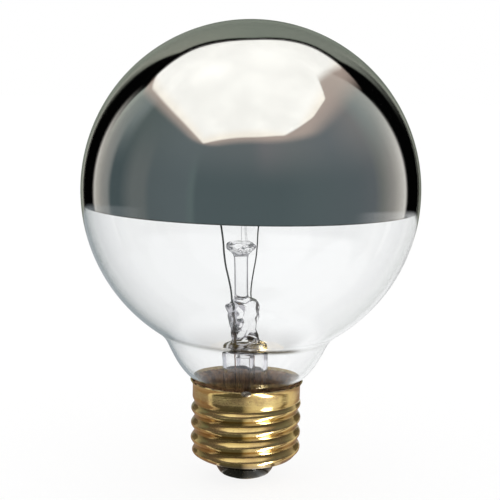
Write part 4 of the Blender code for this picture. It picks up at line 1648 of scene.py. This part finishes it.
    def build_filament(self) -> bpy.types.Object:
        """Wind the filament's coil along its half circle.

        Returns:
            The finished piece.
        """
        coil = self.filament_radius - self.filament_wire
        sweep = -math.pi - 2 * self.tail_angle
        turns, steps = int(abs(sweep) * self.filament_arc / self.filament_pitch), 10
        path = []
        for i in range(turns * steps + 1):
            angle = self.tail_angle + sweep * i / (turns * steps)
            out = Vector((math.cos(angle), math.sin(angle), 0))
            phase = FULL_TURN * i / steps
            centre = out * self.filament_arc + upright(self.filament_height)
            path.append(centre + coil * (out * math.cos(phase) + upright(math.sin(phase))))
        wire = Bench.draw_wire("coiled_filament", path, self.filament_wire, 6)
        return Shop.dress(self.stand(wire), TUNGSTEN, "filament")

    def build_inner_leads(self) -> list[bpy.types.Object]:
        """Draw the two leads from the press up to the filament.

        Returns:
            The finished pieces.
        """
        bend = self.filament_radius + self.gap + self.lead_radius
        rise = self.filament_height - self.press_top
        spread = self.lead_spread - self.lead_half_spacing
        pieces = []
        for side, radius in zip(Side, self.inner_lead_radii):
            direction = Vector((side.value, 0, 0))
            knots = [direction * self.lead_half_spacing + upright(self.press_top - self.insertion + self.gap)]
            for out, up in self.lead_knots:
                reach = self.lead_half_spacing + out * spread
                knots.append(direction * reach + upright(self.press_top + up * rise))
            knots.append(direction * (self.filament_arc + bend) + upright(self.filament_height - 3 * bend))
            path = smooth_path(knots, 8) + self.hook(direction, bend, 16)
            name = side.name.lower()
            wire = Bench.draw_wire(f"nickel_lead_{name}", path, radius, 12)
            pieces.append(Shop.dress(self.stand(wire), NICKEL, f"inner_lead_{name}"))
        return pieces

    def build_seal_wires(self) -> list[bpy.types.Object]:
        """Draw the wires that are sealed in the press.

        Returns:
            The finished pieces.
        """
        low, high = self.press_base + self.insertion, self.press_top - self.insertion
        pieces = []
        for side in Side:
            x = side.value * self.lead_half_spacing
            path = [Vector((x, 0, low + (high - low) * i / 6)) for i in range(7)]
            name = side.name.lower()
            wire = Bench.draw_wire(f"press_wire_{name}", path, self.lead_radius, 12)
            pieces.append(Shop.dress(self.stand(wire), SEAL_WIRE, f"seal_wire_{name}"))
        return pieces

    def build_outer_leads(self, base: ScrewBase) -> list[bpy.types.Object]:
        """Draw the copper leads to the centre contact and over the shell's rim.

        Args:
            base: The base, whose heights the leads follow.

        Returns:
            The two leads.
        """
        start = self.press_base + self.insertion - self.gap
        heights = (start, (start + self.flare_height) / 2, self.flare_height)
        right = [self.stance @ Vector((self.lead_half_spacing, 0, z)) for z in heights]
        beside = right[-1] * 0.85
        beside.z = self.exhaust_end
        halfway = beside / 2
        halfway.z = (self.exhaust_end + base.insulator_top) / 2
        right += [beside, halfway, upright(base.insulator_top + self.gap), upright(base.contact_bottom)]
        centre = Bench.draw_wire("centre_lead", smooth_path(right, 8), self.lead_radius, 12)
        radius, half = self.side_lead_radius, self.lead_radius
        channel = (Bulb.tube_radius + base.root_radius - base.shell_wall) / 2
        lip = base.collar_radius + base.lip_flare - base.shell_wall - radius - self.gap
        under = Bulb.tube_end - 2 * half - self.gap
        over = base.rim + radius + self.gap
        left = [self.stance @ Vector((-self.lead_half_spacing, 0, z)) for z in heights]
        left += [
            Vector((-0.2 * channel, -0.45 * channel, under)),
            Vector((0, -0.85 * channel, under - half)),
            Vector((0, -channel, Bulb.tube_end + half)),
            Vector((0, -channel, base.collar_end)),
            Vector((0, -lip, base.rim - 2 * radius)),
            Vector((0, -lip, base.rim)),
            Vector((0, -lip - 1.5 * radius, over)),
            Vector((0, -base.collar_radius - base.lip_flare, over)),
        ]
        side = Bench.draw_wire("rim_lead", smooth_path(left, 8), radius, 10)
        return [
            Shop.dress(centre, COPPER, "outer_lead_centre"),
            Shop.dress(side, COPPER, "outer_lead_side"),
        ]

    def build(self, base: ScrewBase) -> list[bpy.types.Object]:
        """Build the stem, its wires and the filament.

        Args:
            base: The base, whose heights the leads follow.

        Returns:
            The finished pieces.
        """
        return [
            self.build_stem(),
            self.build_exhaust(),
            *self.build_supports(),
            self.build_filament(),
            *self.build_inner_leads(),
            *self.build_seal_wires(),
            *self.build_outer_leads(base),
        ]


# Tones of the walls and the floor that gloss shows, by compass angle in degrees from the camera's side.
BLACK: Colour = (0.001, 0.001, 0.001)
WHITE: Colour = (1.0, 1.0, 1.0)
WALL_RING: Ring = (
    (-180, (0.218, 0.244, 0.202)),
    (-160, (0.244, 0.270, 0.226)),
    (-154, (0.344, 0.344, 0.294)),
    (-152.5, (0.344, 0.344, 0.294)),
    (-151.5, BLACK),
    (-129.6, BLACK),
    (-128.9, (0.800, 0.750, 0.690)),
    (-127, (0.560, 0.540, 0.495)),
    (-125, (0.464, 0.445, 0.404)),
    (-117, (0.294, 0.289, 0.270)),
    (-110, (0.235, 0.244, 0.235)),
    (-106, (0.070, 0.093, 0.098)),
    (-97, (0.070, 0.093, 0.098)),
    (-85, (0.133, 0.150, 0.149)),
    (-75, (0.133, 0.150, 0.149)),
    (-70, (0.100, 0.124, 0.130)),
    (-44, (0.108, 0.134, 0.142)),
    (-39, (0.116, 0.153, 0.153)),
    (-36, (0.086, 0.113, 0.119)),
    (20, (0.086, 0.113, 0.119)),
    (40, (0.095, 0.122, 0.128)),
    (75, (0.103, 0.125, 0.134)),
    (90, (0.119, 0.134, 0.143)),
    (98, (0.173, 0.180, 0.170)),
    (109, (0.289, 0.279, 0.261)),
    (116, (0.430, 0.411, 0.381)),
    (126, (0.700, 0.676, 0.636)),
    (127, BLACK),
    (155, BLACK),
    (156, (0.313, 0.323, 0.270)),
    (165, (0.203, 0.226, 0.187)),
    (180, (0.218, 0.244, 0.202)),
)
UPPER_RING: Ring = (
    (-180, (0.218, 0.244, 0.202)),
    (-149, (0.270, 0.279, 0.230)),
    (-148, BLACK),
    (-125, BLACK),
    (-124, (0.376, 0.416, 0.370)),
    (-118, (0.256, 0.284, 0.265)),
    (-104, (0.195, 0.226, 0.222)),
    (-95, (0.103, 0.128, 0.125)),
    (-50, (0.128, 0.153, 0.159)),
    (0, (0.134, 0.153, 0.159)),
    (10, (0.170, 0.173, 0.180)),
    (30, (0.159, 0.173, 0.176)),
    (60, (0.146, 0.163, 0.173)),
    (90, (0.203, 0.203, 0.203)),
    (105, (0.244, 0.270, 0.261)),
    (125, (0.381, 0.393, 0.365)),
    (126, BLACK),
    (147, BLACK),
    (148, (0.223, 0.235, 0.199)),
    (180, (0.218, 0.244, 0.202)),
)
TABLE_RING: Ring = (
    (-180, (0.36, 0.27, 0.21)),
    (-110, (0.34, 0.25, 0.19)),
    (-84, (0.30, 0.21, 0.16)),
    (-81, (0.95, 0.90, 0.80)),
    (-75, (0.95, 0.90, 0.80)),
    (-71, (0.11, 0.105, 0.085)),
    (-8, (0.10, 0.10, 0.085)),
    (0, (0.45, 0.42, 0.36)),
    (12, (0.80, 0.76, 0.68)),
    (35, (0.95, 0.92, 0.86)),
    (41, (1.35, 1.35, 1.30)),
    (53, (1.35, 1.35, 1.30)),
    (60, (0.95, 0.90, 0.84)),
    (74, (0.80, 0.74, 0.64)),
    (80, (0.24, 0.20, 0.15)),
    (90, (0.24, 0.20, 0.15)),
    (97, (0.80, 0.74, 0.64)),
    (118, (0.70, 0.62, 0.52)),
    (135, (0.36, 0.27, 0.21)),
    (180, (0.36, 0.27, 0.21)),
)
APRON_RING: Ring = (
    (-180, (0.52, 0.55, 0.57)),
    (-150, (0.36, 0.40, 0.42)),
    (-120, (0.42, 0.46, 0.48)),
    (-60, (0.60, 0.62, 0.63)),
    (-15, (0.70, 0.72, 0.73)),
    (20, (0.92, 0.93, 0.93)),
    (150, (0.96, 0.97, 0.97)),
    (172, (0.90, 0.91, 0.91)),
    (180, (0.62, 0.65, 0.66)),
)


class Rays:
    """The kinds of ray that the floor and the room tell apart, by the path each took."""

    def __init__(self, desk: NodeDesk) -> None:
        """Read the light path on a desk."""
        self.desk = desk
        self.path = desk.add("LightPath").outputs

    def over(self, kind: str, count: float) -> bpy.types.NodeSocket:
        """Mask rays that went through more steps of a kind than a count."""
        return self.desk.math("GREATER_THAN", self.path[f"{kind} Depth"], count)

    @cached_property
    def shown(self) -> bpy.types.NodeSocket:
        """Rays from the camera, straight or through glass."""
        return self.desk.math("MAXIMUM", self.path["Is Camera Ray"], self.path["Is Transmission Ray"])

    @cached_property
    def mirrored(self) -> bpy.types.NodeSocket:
        """Rays that gloss or metal threw back."""
        return self.over("Glossy", 0.5)

    @cached_property
    def glazed(self) -> bpy.types.NodeSocket:
        """Rays that glass bent or a smooth face threw back."""
        return self.desk.math("MAXIMUM", self.over("Transmission", 0.5), self.path["Is Singular Ray"])

    @cached_property
    def deep(self) -> bpy.types.NodeSocket:
        """Rays that passed the glass of the stem inside that of the envelope."""
        return self.over("Transmission", 4.5)


@dataclass
class Studio:
    """The camera, the white floor, and the lights and walls that the mirror shows.

    Polished things see what stands round them, so the glass, the stem inside it and the brass are each given
    their own surroundings. Edges of the overhead light are (compass turn, slope, half width of the blur).
    """

    camera_place: tuple[float, float, float] = (0.0, -0.280, 0.09656)
    yaw: float = math.radians(0.025)
    pitch: float = math.radians(8.364)
    roll: float = math.radians(1.304)
    lens: float = 86.49
    floor_reach: float = 4.0
    floor_glow: float = 1.02
    floor_tone: Colour = (0.9, 0.9, 0.9)
    table_reach: tuple[float, float] = (0.125, 0.150)
    brass_reach: tuple[float, float] = (0.085, 0.105)
    brass_radius: float = 0.0065
    brass_turn: float = 0.922
    brass_room: Colour = (0.15, 0.13, 0.10)
    beam_light: Colour = (18.0, 18.0, 18.0)
    beam_turns: tuple[float, float, float, float] = (37.0, 41.0, 54.0, 58.0)
    beam_reaches: tuple[float, float, float, float] = (0.010, 0.012, 0.036, 0.052)
    # Painted shadow: the dark floor right under the bulb, as the glass reflects it.
    painted_bulb_shadow: Colour = (0.10, 0.09, 0.08)
    painted_shadow_reach: tuple[float, float] = (0.016, 0.032)
    stem_room: Colour = (0.70, 0.68, 0.75)
    stem_share: float = 0.62
    stem_shade: Colour = (0.20, 0.19, 0.22)
    stem_window: tuple[float, float] = (0.60, 0.80)
    shadow_share: float = 0.86
    box_light: Colour = (1.12, 1.10, 1.05)
    box_edge: Colour = (1.08, 0.99, 0.86)
    box_glow: Colour = (0.56, 0.45, 0.39)
    glow_edges: Edges = (
        (184.3, 1.13, 0.13),
        (272.9, 1.29, 0.15),
        (0.0, 0.98, 0.22),
        (310.0, 1.27, 0.16),
        (225.0, 1.52, 0.12),
    )
    frame_edges: Edges = ((184.3, 1.00, 0.03), (0.0, 0.95, 0.03))
    panel_edges: Edges = (
        (184.3, 1.015, 0.035),
        (272.9, 1.17, 0.03),
        (0.0, 0.765, 0.015),
        (144.0, 1.20, 0.03),
        (288.4, 1.150, 0.03),
        (330.9, 0.955, 0.03),
        (341.6, 0.875, 0.02),
    )
    notch_edges: Edges = ((-13.4, 0.52, 0.07), (37.7, 0.575, 0.015))
    warm_edges: Edges = ((184.3, 0.92, 0.12), (272.9, 1.02, 0.12), (0.0, 0.68, 0.10))
    hot_spots: Edges = ((-0.34, 0.05, 0.28), (0.10, 0.22, 0.36))

    def set_camera(self) -> None:
        """Stand the camera where the photograph was taken from."""
        Bench.clear()
        bpy.ops.object.camera_add()
        camera = bpy.context.object
        camera.data.lens = self.lens
        camera.data.sensor_width = 36.0
        camera.data.clip_start = 0.005
        turn = Matrix.Rotation(-self.yaw, 4, "Z") @ Matrix.Rotation(math.pi / 2 - self.pitch, 4, "X")
        turn @= Matrix.Rotation(self.roll, 4, "Z")
        camera.matrix_world = Matrix.Translation(self.camera_place) @ turn
        bpy.context.scene.camera = camera

    def lay_floor(self) -> bpy.types.Object:
        """Lay the white floor, which takes the lamp's shadow and is too pale to show an edge.

        Returns:
            The floor.
        """
        Bench.clear()
        bpy.ops.mesh.primitive_plane_add(size=2 * self.floor_reach, location=(0, 0, 0))
        floor = Bench.name_new("studio_floor")
        material = bpy.data.materials.new("studio_floor")
        material.use_nodes = True
        material.node_tree.nodes.clear()
        desk = NodeDesk(material.node_tree)
        rays = Rays(desk)
        spot = Compass(desk, desk.add("TexCoord").outputs["Object"])
        table = desk.add("Emission", {"Color": self.paint_table(desk, rays, spot)})
        behind = desk.ramp(desk.math("DIVIDE", spot.y, spot.reach), *self.stem_window)
        shade = desk.blend(desk.product(rays.deep, desk.rest(behind)), WHITE, self.stem_shade)
        glow = desk.add("Emission", {"Color": shade, "Strength": self.floor_glow})
        matt = desk.add("BsdfDiffuse", {"Color": self.floor_tone})
        share = desk.product(rays.shown, desk.math("MAXIMUM", rays.deep, self.shadow_share))
        sheet = desk.add("MixShader", {0: share, 1: matt.outputs[0], 2: glow.outputs[0]})
        beyond = desk.ramp(spot.reach, *self.table_reach)
        clear = desk.add("BsdfTransparent")
        gloss = desk.add("MixShader", {0: beyond, 1: table.outputs[0], 2: clear.outputs[0]})
        mixed = desk.add("MixShader", {0: rays.mirrored, 1: sheet.outputs[0], 2: gloss.outputs[0]})
        desk.add("OutputMaterial", {"Surface": mixed.outputs[0]})
        floor.data.materials.append(material)
        return floor

    def paint_table(self, desk: NodeDesk, rays: Rays, spot: Compass) -> bpy.types.NodeSocket:
        """Paint the floor near the lamp as gloss shows it, with a painted shadow under the bulb that the glass
        shows.

        Args:
            desk: Desk of the floor's tree.
            rays: The kinds of ray.
            spot: Place on the floor.

        Returns:
            The colour of the floor there.
        """
        reach = spot.reach
        clearance = desk.math("MAXIMUM", desk.math("SUBTRACT", reach, self.brass_radius), self.brass_radius)
        turned = desk.product(spot.azimuth, desk.math("DIVIDE", reach, clearance), self.brass_turn)
        beam = desk.product(desk.band(turned, *self.beam_turns), desk.band(reach, *self.beam_reaches))
        brass_floor = desk.blend(beam, self.paint_ring(desk, turned, TABLE_RING), self.beam_light)
        glass_floor = self.paint_ring(desk, spot.azimuth, APRON_RING)
        # Painted shadow under the bulb, seen only in the glass.
        glass_floor = desk.blend(desk.ramp(reach, *self.painted_shadow_reach), self.painted_bulb_shadow, glass_floor)
        away = desk.math("MAXIMUM", desk.ramp(reach, *self.brass_reach), rays.glazed)
        apron = desk.blend(away, brass_floor, glass_floor)
        return desk.blend(desk.product(rays.deep, self.stem_share), apron, self.stem_room)

    def paint_ring(self, desk: NodeDesk, azimuth: bpy.types.NodeSocket, ring: Ring) -> bpy.types.NodeSocket:
        """Paint one ring of tones.

        Args:
            desk: Desk of the tree.
            azimuth: Compass angle in degrees, which is nothing at the camera's side.
            ring: Compass angles with their colours.

        Returns:
            The colour of the ring at that angle.
        """
        node = desk.add("ValToRGB", {"Fac": desk.math("MULTIPLY_ADD", azimuth, 1 / 360, 0.5)})
        stops = node.color_ramp.elements
        while len(stops) < len(ring):
            stops.new(0.5)
        for stop, (angle, colour) in zip(stops, ring):
            stop.position = (angle + 180) / 360
            stop.color = (*colour, 1.0)
        return node.outputs["Color"]

    def paint_box(self, desk: NodeDesk, u: Any, v: Any, room: Any) -> bpy.types.NodeSocket:
        """Paint the large box light overhead, with its dark frame and the glow round it.

        Args:
            desk: Desk of the world's tree.
            u: Slope of the direction along X.
            v: Slope of the direction along Y.
            room: Colour of the room without the light.

        Returns:
            The colour of the room with the light.
        """

        def beyond(edge: tuple[float, float, float]) -> bpy.types.NodeSocket:
            """Mask what lies beyond an edge.

            Args:
                edge: Direction in which it faces, in degrees, its distance and half its blur.

            Returns:
                One beyond the edge and nothing before it.
            """
            turn, reach, soft = edge
            inputs = {"U": u, "V": v, "Turn": math.radians(turn), "Reach": reach, "Soft": soft}
            return Effects.place(desk, "panel_edge", inputs)[0]

        def within(edges: Edges) -> Any:
            """Mask what lies beyond none of several edges."""
            return desk.product(*(desk.rest(beyond(edge)) for edge in edges))

        lift = desk.math("ADD", desk.ramp(u, -0.05, 0.50, 0.0, 0.27), desk.ramp(u, -0.55, -0.08, 0.12, 0.0))
        depth = desk.math("SUBTRACT", v, lift)
        back = desk.ramp(depth, 0.64, 0.665)
        front = desk.rest(back)
        room = desk.blend(desk.product(within(self.glow_edges), front, 0.75), room, self.box_glow)
        far_edge = desk.math("MULTIPLY_ADD", desk.math("ABSOLUTE", u), 0.16, 0.72)
        near_frame = desk.fade(desk.math("SUBTRACT", depth, far_edge), 0.0, 0.03)
        room = desk.blend(desk.product(within(self.frame_edges), near_frame, back), room, BLACK)
        notch = desk.product(*(beyond(edge) for edge in self.notch_edges))
        warmth: Any = 0.0
        for edge in self.warm_edges:
            warmth = desk.math("MAXIMUM", warmth, beyond(edge))
        tint = desk.blend(desk.product(warmth, 0.8), self.box_light, self.box_edge)
        flat = desk.add("CombineXYZ", {0: u, 1: v}).outputs[0]
        mottle = desk.ramp(desk.noise(flat, 2.2, 2.0), 0.35, 0.70, 0.955, 1.05)
        hot = desk.math("MAXIMUM", *(self.hot_spot(desk, u, v, spot) for spot in self.hot_spots))
        level = desk.math("MULTIPLY_ADD", hot, 0.10, mottle)
        grey = desk.add("CombineXYZ", {0: level, 1: level, 2: level}).outputs[0]
        lit = desk.blend(1.0, tint, grey, "MULTIPLY")
        return desk.blend(desk.product(within(self.panel_edges), front, desk.rest(notch)), room, lit)

    def hot_spot(
        self, desk: NodeDesk, u: Any, v: Any, spot: tuple[float, float, float]
    ) -> bpy.types.NodeSocket:
        """Mask a soft round spot overhead.

        Args:
            desk: Desk of the world's tree.
            u: Slope of the direction along X.
            v: Slope of the direction along Y.
            spot: Slopes of its middle, and its radius.

        Returns:
            One in its middle, fading to nothing.
        """
        away = desk.length(desk.math("SUBTRACT", u, spot[0]), desk.math("SUBTRACT", v, spot[1]))
        return desk.fade(away, 0.0, spot[2])

    def paint_room(self, desk: NodeDesk, sight: Compass) -> bpy.types.NodeSocket:
        """Paint the room that gloss and mirror show, by direction.

        Args:
            desk: Desk of the world's tree.
            sight: Direction of the ray.

        Returns:
            The colour of the room.
        """
        elevation = desk.math("DEGREES", desk.math("ARCSINE", sight.z))
        steep = desk.math("MAXIMUM", sight.z, 0.02)
        u, v = desk.math("DIVIDE", sight.x, steep), desk.math("DIVIDE", sight.y, steep)
        walls = self.paint_ring(desk, sight.azimuth, WALL_RING)
        upper = self.paint_ring(desk, sight.azimuth, UPPER_RING)
        room = desk.blend(desk.ramp(elevation, 6.0, 36.0), walls, upper)
        room = desk.blend(desk.fade(elevation, -44.0, -28.0), room, WHITE)
        return desk.blend(desk.ramp(sight.z, 0.0, 0.05), room, self.paint_box(desk, u, v, room))

    def light_room(self) -> None:
        """Light the room: white where it is seen, plain soft light on matt faces, the room in gloss."""
        world = bpy.data.worlds.new("studio")
        bpy.context.scene.world = world
        world.use_nodes = True
        world.node_tree.nodes.clear()
        desk = NodeDesk(world.node_tree)
        rays = Rays(desk)
        ray = desk.add("VectorMath", {0: desk.add("TexCoord").outputs["Object"]}, operation="NORMALIZE")
        sight = Compass(desk, ray.outputs[0])
        room = desk.blend(desk.rest(rays.glazed), self.paint_room(desk, sight), self.brass_room, "LIGHTEN")
        low = desk.product(desk.fade(sight.z, -0.165, -0.135), desk.ramp(sight.y, -0.35, 0.05))
        low = desk.math("MAXIMUM", low, desk.fade(sight.z, -0.41, -0.34))
        shallow = desk.rest(rays.over("Transmission", 3.5))
        room = desk.blend(desk.product(shallow, low), room, self.paint_ring(desk, sight.azimuth, APRON_RING))
        stem = desk.product(rays.deep, desk.rest(rays.over("Glossy", 2.5)), self.stem_share)
        room = desk.blend(stem, room, self.stem_room)
        soft = desk.blend(desk.ramp(sight.z, -1.0, 1.0), (0.78, 0.78, 0.78), (1.10, 1.10, 1.10))
        matt = rays.over("Diffuse", 0.5)
        lit = desk.blend(matt, room, soft)
        aside = desk.product(rays.deep, desk.fade(sight.y, *self.stem_window))
        seen = desk.product(rays.shown, desk.rest(desk.math("MAXIMUM", rays.mirrored, matt)))
        colour = desk.blend(seen, lit, desk.blend(aside, WHITE, self.stem_shade))
        glow = desk.add("Background", {"Color": colour, "Strength": 1.0})
        desk.add("OutputWorld", {"Surface": glow.outputs[0]})

    def build(self) -> None:
        """Set up the studio round the lamp."""
        self.set_camera()
        self.lay_floor()
        self.light_room()


def main() -> None:
    """Build the studio and the lamp, and report the pieces."""
    logging.basicConfig(level=logging.INFO, format="%(message)s")
    bpy.context.scene.view_settings.view_transform = "Standard"
    Studio().build()
    base = ScrewBase()
    pieces = Bulb().build() + base.build() + Mount().build(base)
    Shop.report(pieces)


if __name__ == "__main__":
    main()
